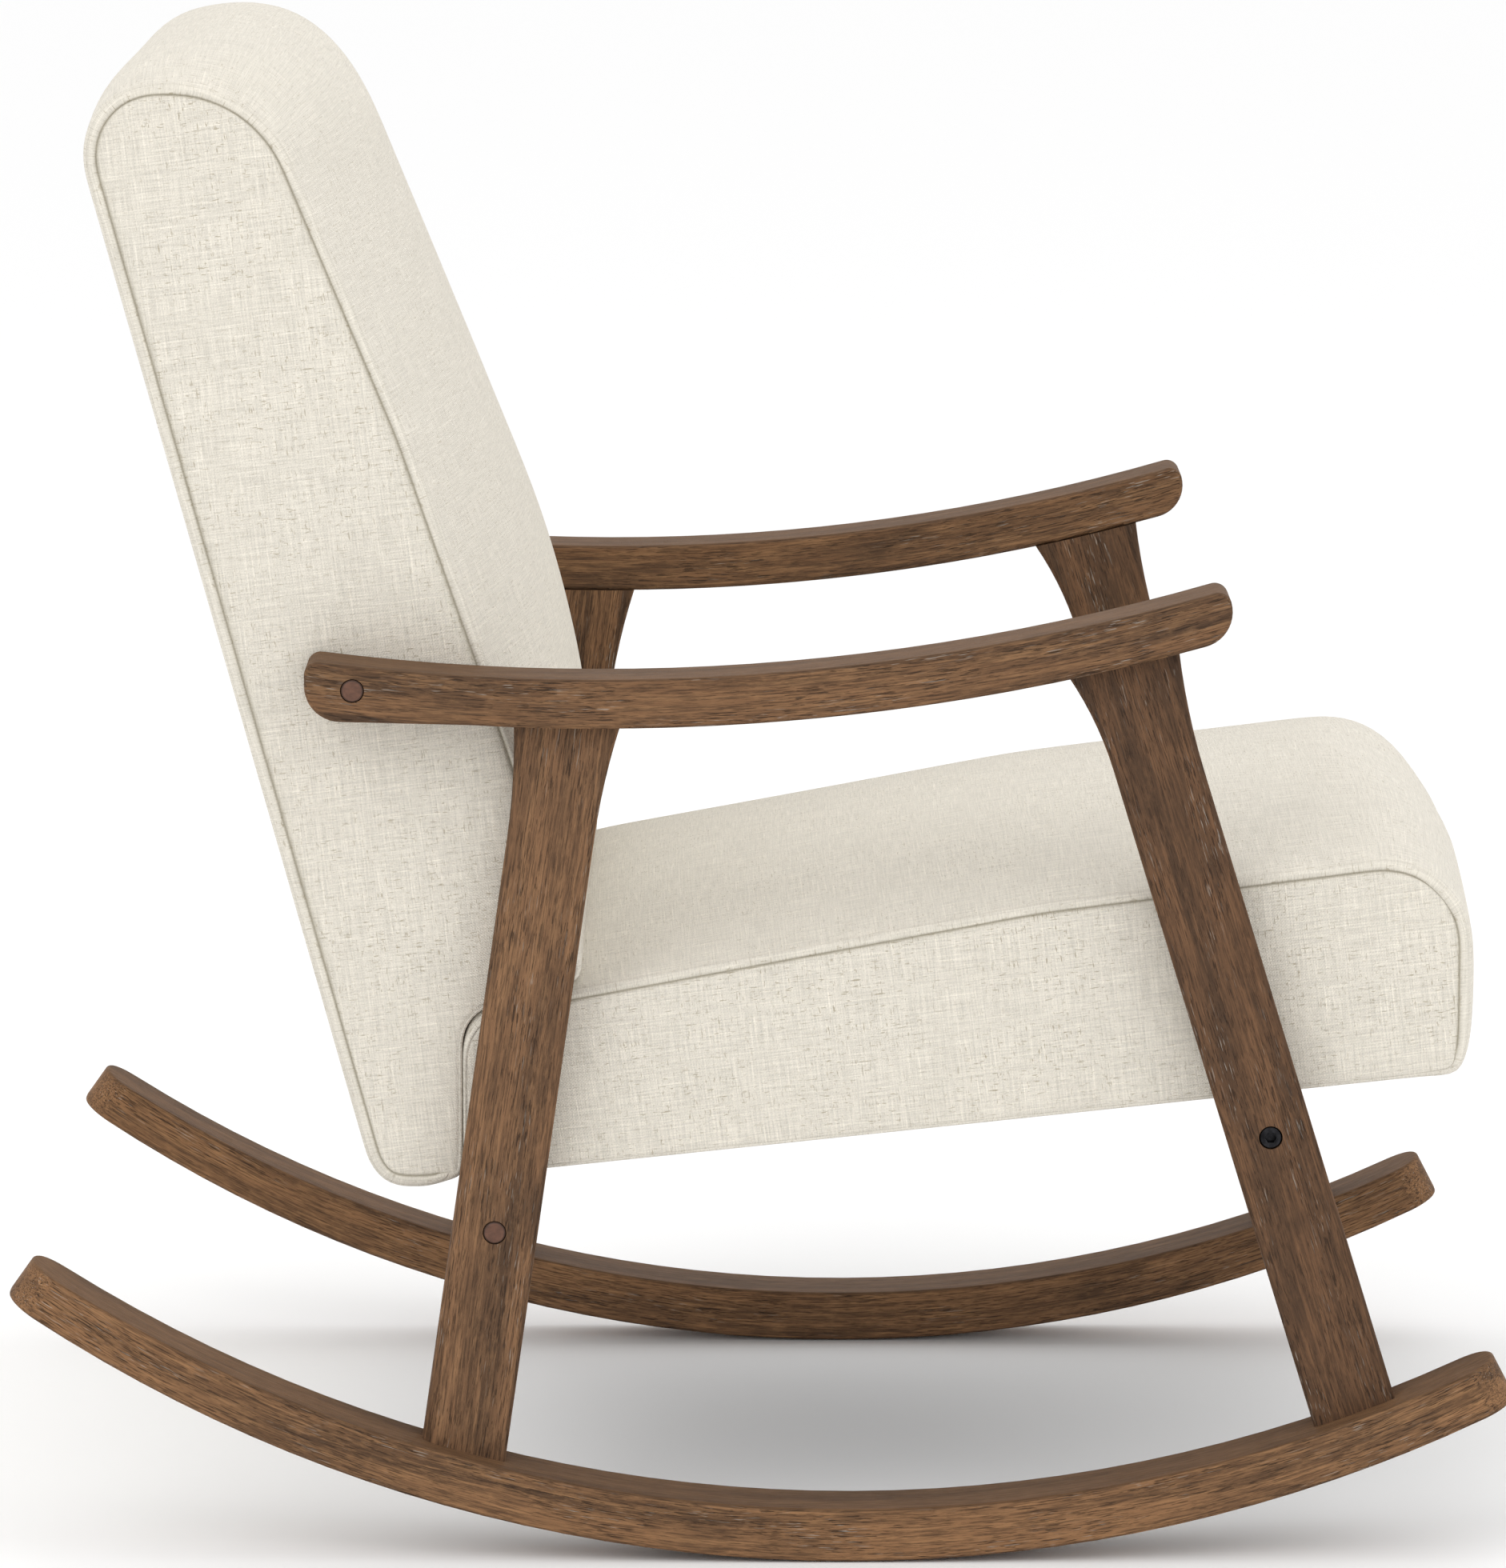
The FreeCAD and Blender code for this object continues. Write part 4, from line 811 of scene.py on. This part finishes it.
def pad_line(panel, corners, counts, shape):
    """A side panel's outline at even points, with the pad's form at each of them."""
    rim = []
    for run, count in zip(cut_at(panel_outline(panel), corners), counts * 2):
        rim += even(run, count)[:-1]
    ways = outward(rim)
    forms = [shape(p, w) for p, w in zip(rim, ways)]
    proud = eased([f["proud"] for f in forms], 3)
    rolls = [blend(FLUSH_ROLL, PROUD_ROLL, k) for k in proud]
    rim = moved(rim, ways, eased([f["press"] for f in forms], 1))
    seam = moved(rim, ways, [-r * (1 - k) for r, k in zip(rolls, proud)])
    return SimpleNamespace(
        rim=rim, ways=ways, proud=proud, rolls=rolls, seam=seam,
        inner=moved(seam, ways, [-SUPPORT] * len(rim)),
        crown=eased([f["crown"] for f in forms], 4),
        power=eased([f["power"] for f in forms], 4),
        plain=eased([PLAIN * (1 - f["line"]) for f in forms], 1))


def wrap_rings(half):
    """The wrap's rings from the right seam to the left: on a roll, or on the span between."""
    steps = max(8, round((half - PROUD_ROLL) * 2 / SPACING))
    count = len(ROLL_HOLD)
    return ([("roll", -1, k) for k in range(count)]
            + [("span", j / steps * 2 - 1, 0) for j in range(1, steps)]
            + [("roll", 1, k) for k in reversed(range(count))])


def wrap_spot(line, i, half, ring):
    """The place of a ring's point i, its way from the seam and how firmly it is held."""
    kind, where, k = ring
    roll, base, way = line.rolls[i], line.seam[i], line.ways[i]
    if kind == "roll":
        way_in, out, gap = roll_rings(roll)[k]
        y = where * (half - way_in)
        held = ROLL_HOLD[k]
    else:
        y = where * (half - roll)
        out = roll + line.crown[i] * (1 - abs(where) ** line.power[i])
        gap = half - abs(y) - roll + roll * math.pi / 2
        held = 0.0
        if line.proud[i] < 0.05 and way[1] < -0.9:
            out -= UNDERSIDE_SET * smooth_step(0.0, 20 * MM, half - abs(y) - 6 * MM)
    if line.crown[i] < 1 * MM:
        held = 1.0
    place = (base[0] + way[0] * out, y, base[1] + way[1] * out)
    return place, gap + line.plain[i], held


def add_wrap(cloth, line, half):
    """Sew the wrap round the outline, and give its first and last ring."""
    total = len(line.rim)
    lengths = [0.0]
    for a, b in zip(line.rim, line.rim[1:] + line.rim[:1]):
        lengths.append(lengths[-1] + math.dist(a, b))
    rows = [[cloth.point(*wrap_spot(line, i, half, ring)) for i in range(total)]
            for ring in wrap_rings(half)]
    for a, b in zip(rows, rows[1:]):
        for i in range(total):
            k = (i + 1) % total
            start, end = lengths[i], lengths[i + 1]
            cloth.quad((a[i], a[k], b[k], b[i]), ((a[i].co.y, start), (a[k].co.y, end),
                                                  (b[k].co.y, end), (b[i].co.y, start)))
    return rows[0], rows[-1]


def add_side_panel(cloth, line, counts, half, ring, side):
    """Fill one side's outline, and sew it to the wrap's nearest ring."""
    n, m = counts
    edge = grid_rim(n, m)
    hidden = dict(zip(edge, line.plain))
    grid = patch_grid(line.inner, n, m)
    verts = {}
    for j in range(m + 1):
        for i in range(n + 1):
            x, z = grid[j][i]
            inward = min(i, n - i, j, m - j)
            gap = -4 * MM - inward * SPACING if inward else -SUPPORT - hidden[i, j]
            verts[i, j] = cloth.point((x, side * half, z), gap, 0.0 if inward else 1.0)
    for j in range(m):
        for i in range(n):
            cloth.panel_quad([verts[i, j], verts[i + 1, j], verts[i + 1, j + 1],
                              verts[i, j + 1]], side)
    total = len(edge)
    for k in range(total):
        after = (k + 1) % total
        cloth.panel_quad([verts[edge[k]], verts[edge[after]], ring[after], ring[k]], side)


def make_pad(name, panel, corners, counts, shape):
    """A closed pad: two flat side panels and a wrap that rolls over their edges and crowns.
    shape(point, normal) gives how proud the roll is (0 to 1), the crown and its sharpness, how
    much of a seam shows (0 to 1) and how far the outline is pressed out."""
    line = pad_line(panel, corners, counts, shape)
    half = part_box(panel)[1].y
    cloth = PadMesh()
    for ring, side in zip(add_wrap(cloth, line, half), (-1, 1)):
        add_side_panel(cloth, line, counts, half, ring, side)
    return cloth.finished(name)


STUFFING_PRESSURE = 4.0
SWELL_LIMIT = 12 * MM
STUFFING_FRAMES = 20


def stuff(pad):
    """Let the cloth of a pad swell over its filling, no further than the limit."""
    pick_only(pad)
    group = pad.vertex_groups.new(name="held")
    for vert, held in zip(pad.data.vertices, pad.data.attributes["held"].data):
        group.add([vert.index], held.value, "REPLACE")
    start = [v.co.copy() for v in pad.data.vertices]
    cloth = pad.modifiers.new("stuffing", "CLOTH")
    cloth.settings.quality = 5
    cloth.settings.mass = 0.3
    cloth.settings.tension_stiffness = 25
    cloth.settings.compression_stiffness = 25
    cloth.settings.shear_stiffness = 12
    cloth.settings.bending_stiffness = 1.5
    cloth.settings.vertex_group_mass = "held"
    cloth.settings.use_pressure = True
    cloth.settings.uniform_pressure_force = STUFFING_PRESSURE
    cloth.settings.effector_weights.gravity = 0
    cloth.collision_settings.use_collision = False
    cloth.point_cache.frame_start = 1
    cloth.point_cache.frame_end = STUFFING_FRAMES
    for step in range(1, STUFFING_FRAMES + 1):
        bpy.context.scene.frame_set(step)
    bpy.ops.object.modifier_apply(modifier=cloth.name)
    bpy.context.scene.frame_set(1)
    for vert, origin in zip(pad.data.vertices, start):
        way = vert.co - origin
        if way.length > SWELL_LIMIT:
            vert.co = origin + way.normalized() * SWELL_LIMIT


def finish_pad(pad, half):
    """Round the pad off, press its seams in and keep its sides clear of the legs."""
    pick_only(pad)
    rounder = pad.modifiers.new("rounding", "SUBSURF")
    rounder.levels = rounder.render_levels = 1
    bpy.ops.object.modifier_apply(modifier=rounder.name)
    mesh = pad.data
    gaps = [item.value for item in mesh.attributes["seam_gap"].data]
    normals = [v.normal.copy() for v in mesh.vertices]
    for vert, gap, normal in zip(mesh.vertices, gaps, normals):
        vert.co -= normal * SEAM_DEPTH * (1 - smooth_step(0.0, SUPPORT, abs(gap)))
        vert.co.y = min(max(vert.co.y, -half), half)
    mesh.attributes.remove(mesh.attributes["held"])
    pad.vertex_groups.clear()
    mesh.materials.append(LINEN)
    mesh.update()


# ---------------------------------------------------------------- the seat and the back

# a power of 2 makes a crown round from side to side, and a higher one makes it boxier
SEAT_TOP_CROWN = 28 * MM
SEAT_NOSE_CROWN = 25 * MM
SEAT_NOSE_X = (0.20, 0.34)       # the top's crown turns into the nose's between these
SEAT_FRONT_CROWN = 10.5 * MM
SEAT_BROW_CROWN = 1 * MM
SEAT_BROW_Z = (0.24, 0.34)       # the front's crown turns into the brow's between these
SEAT_REAR_WAY = (15 * MM, 60 * MM)   # the crown rises between these, from the rear
SEAT_POWER = 2.4
BACK_TOP_CROWN = 11.5 * MM
BACK_TOP_Z = (0.60, 0.75)
BACK_TOP_POWER = 7.0
BACK_FRONT_CROWN = 24 * MM
BACK_FRONT_POWER = 2.4
BACK_LUMBAR_CROWN = 12 * MM
BACK_LUMBAR_Z = 0.56
BACK_LUMBAR_REACH = 0.09
BACK_TAPER_Z = (0.34, 0.47)      # the front's crown fades out downwards between these
NOTCH_X = (-0.186, -0.18)        # where the back steps back for the seat
NOTCH_Z = (0.345, 0.37)
TUCK = 0.65 * MM                 # how far the seat and the back press toward each other

seat_low, seat_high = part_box("seat_side_panel_left")
back_low, back_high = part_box("back_side_panel_left")
PANEL_HALF = seat_high.y


def seat_shape(point, normal):
    """The seat's wrap: proud on the top and front, flush underneath and at the rear."""
    x, z = point
    top = smooth_step(0.3, 0.8, normal[1])
    front = smooth_step(0.3, 0.9, normal[0])
    behind = smooth_step(0.4, 0.9, -normal[0])
    high = smooth_step(0.45, 0.86, normal[1]) * smooth_step(*SEAT_REAR_WAY, x - seat_low.x)
    top_crown = high * blend(SEAT_TOP_CROWN, SEAT_NOSE_CROWN, smooth_step(*SEAT_NOSE_X, x))
    front_crown = front * blend(SEAT_FRONT_CROWN, SEAT_BROW_CROWN, smooth_step(*SEAT_BROW_Z, z))
    return {"proud": max(top, front), "crown": max(top_crown, front_crown),
            "power": SEAT_POWER, "line": max(top, front), "press": TUCK * behind}


def back_shape(point, normal):
    """The back's wrap: proud all round, flush where it meets the seat."""
    x, z = point
    notch = smooth_step(*NOTCH_X, x) * (1 - smooth_step(*NOTCH_Z, z))
    front = smooth_step(0.0, 0.75, normal[0])
    top = smooth_step(0.1, 0.75, normal[1]) * smooth_step(*BACK_TOP_Z, z)
    lumbar = BACK_LUMBAR_CROWN * math.exp(-((z - BACK_LUMBAR_Z) / BACK_LUMBAR_REACH) ** 2)
    front_crown = front * (BACK_FRONT_CROWN + lumbar) * smooth_step(*BACK_TAPER_Z, z)
    top_crown = top * BACK_TOP_CROWN * (1 - 0.5 * max(0.0, -normal[0]))
    return {"proud": 1 - notch, "crown": (front_crown + top_crown) * (1 - notch),
            "power": blend(BACK_FRONT_POWER, BACK_TOP_POWER, top * (1 - front)),
            "line": 1 - notch, "press": TUCK * notch}


# each outline is cut into four runs at the points nearest to these, anticlockwise
SEAT_CORNERS = [(seat_low.x, seat_low.z), (seat_high.x, 0.285),
                (seat_high.x, seat_high.z + 0.02), (seat_low.x, 0.33)]
BACK_CORNERS = [(-0.235, back_low.z - 0.01), (-0.1775, back_low.z),
                (-0.285, back_high.z + 0.01), (back_low.x, back_high.z + 0.01)]
SEAT_COUNTS = (68, 15)
BACK_COUNTS = (9, 78)

seat_pad = make_pad("seat_cushion", "seat_side_panel_left", SEAT_CORNERS, SEAT_COUNTS,
                    seat_shape)
back_pad = make_pad("back_cushion", "back_side_panel_left", BACK_CORNERS, BACK_COUNTS,
                    back_shape)
stuff(seat_pad)
stuff(back_pad)
finish_pad(seat_pad, PANEL_HALF)
finish_pad(back_pad, PANEL_HALF)

for pad, part in ((seat_pad, "seat"), (back_pad, "back")):
    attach(pad, "root")
    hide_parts(part + "_cover", part + "_foam", part + "_side_panel_left",
                part + "_side_panel_right")

# ---------------------------------------------------------------- floor, light and camera

FLOOR_SIZE = 30
FLOOR_DROP = 0.5 * MM     # keeps the floor off the runners' undersides
SKY_STRENGTH = 1.0
SOFTBOXES = {
    # place, aim, width, watts
    "key_softbox": ((-2.2, -3.2, 3.4), (0, 0, 0.45), 2.6, 34),
    "top_softbox": ((0.4, 0.2, 3.9), (0.1, 0, 0.45), 2.8, 15),
    "fill_softbox": ((3.2, -2.6, 2.2), (0, 0, 0.45), 2.6, 20),
}
CAMERA_PLACE = (-0.0053, -5.0988, 1.2596)
CAMERA_DIP = 0.16425      # radians below level
CAMERA_SENSOR = 36        # mm, and so is the lens
CAMERA_LENS = 191.667


def add_floor():
    bpy.ops.object.select_all(action="DESELECT")
    bpy.ops.mesh.primitive_plane_add(size=FLOOR_SIZE, location=(0, 0, -FLOOR_DROP))
    floor = bpy.context.active_object
    floor.name = "studio_floor"
    paint = new_finish("floor_paint", roughness=0.9, specular_ior_level=0.1,
                       base_color=(0.985, 0.985, 0.985))[0]
    floor.data.materials.append(paint)


def add_softbox(name, place, aim, width, power):
    light = bpy.data.lights.new(name, "AREA")
    light.shape = "RECTANGLE"
    light.size = light.size_y = width
    light.energy = power
    lamp = place_in_scene(name, light)
    lamp.location = place
    way = Vector(aim) - Vector(place)
    lamp.rotation_euler = way.to_track_quat("-Z", "Y").to_euler()


def light_studio():
    world = bpy.data.worlds.new("studio")
    bpy.context.scene.world = world
    world.use_nodes = True
    sky = world.node_tree.nodes["Background"]
    sky.inputs["Color"].default_value = (1, 1, 1, 1)
    sky.inputs["Strength"].default_value = SKY_STRENGTH
    for name, (place, aim, width, power) in SOFTBOXES.items():
        add_softbox(name, place, aim, width, power)


def add_camera():
    camera = bpy.data.cameras.new("side_view")
    camera.sensor_fit = "VERTICAL"
    camera.sensor_height = camera.sensor_width = CAMERA_SENSOR
    camera.lens = CAMERA_LENS
    camera.clip_end = 100
    holder = place_in_scene("side_view", camera)
    holder.location = CAMERA_PLACE
    holder.rotation_euler = (math.pi / 2 - CAMERA_DIP, 0, 0)
    bpy.context.scene.camera = holder


add_floor()
light_studio()
add_camera()
bpy.context.scene.view_settings.view_transform = "Standard"
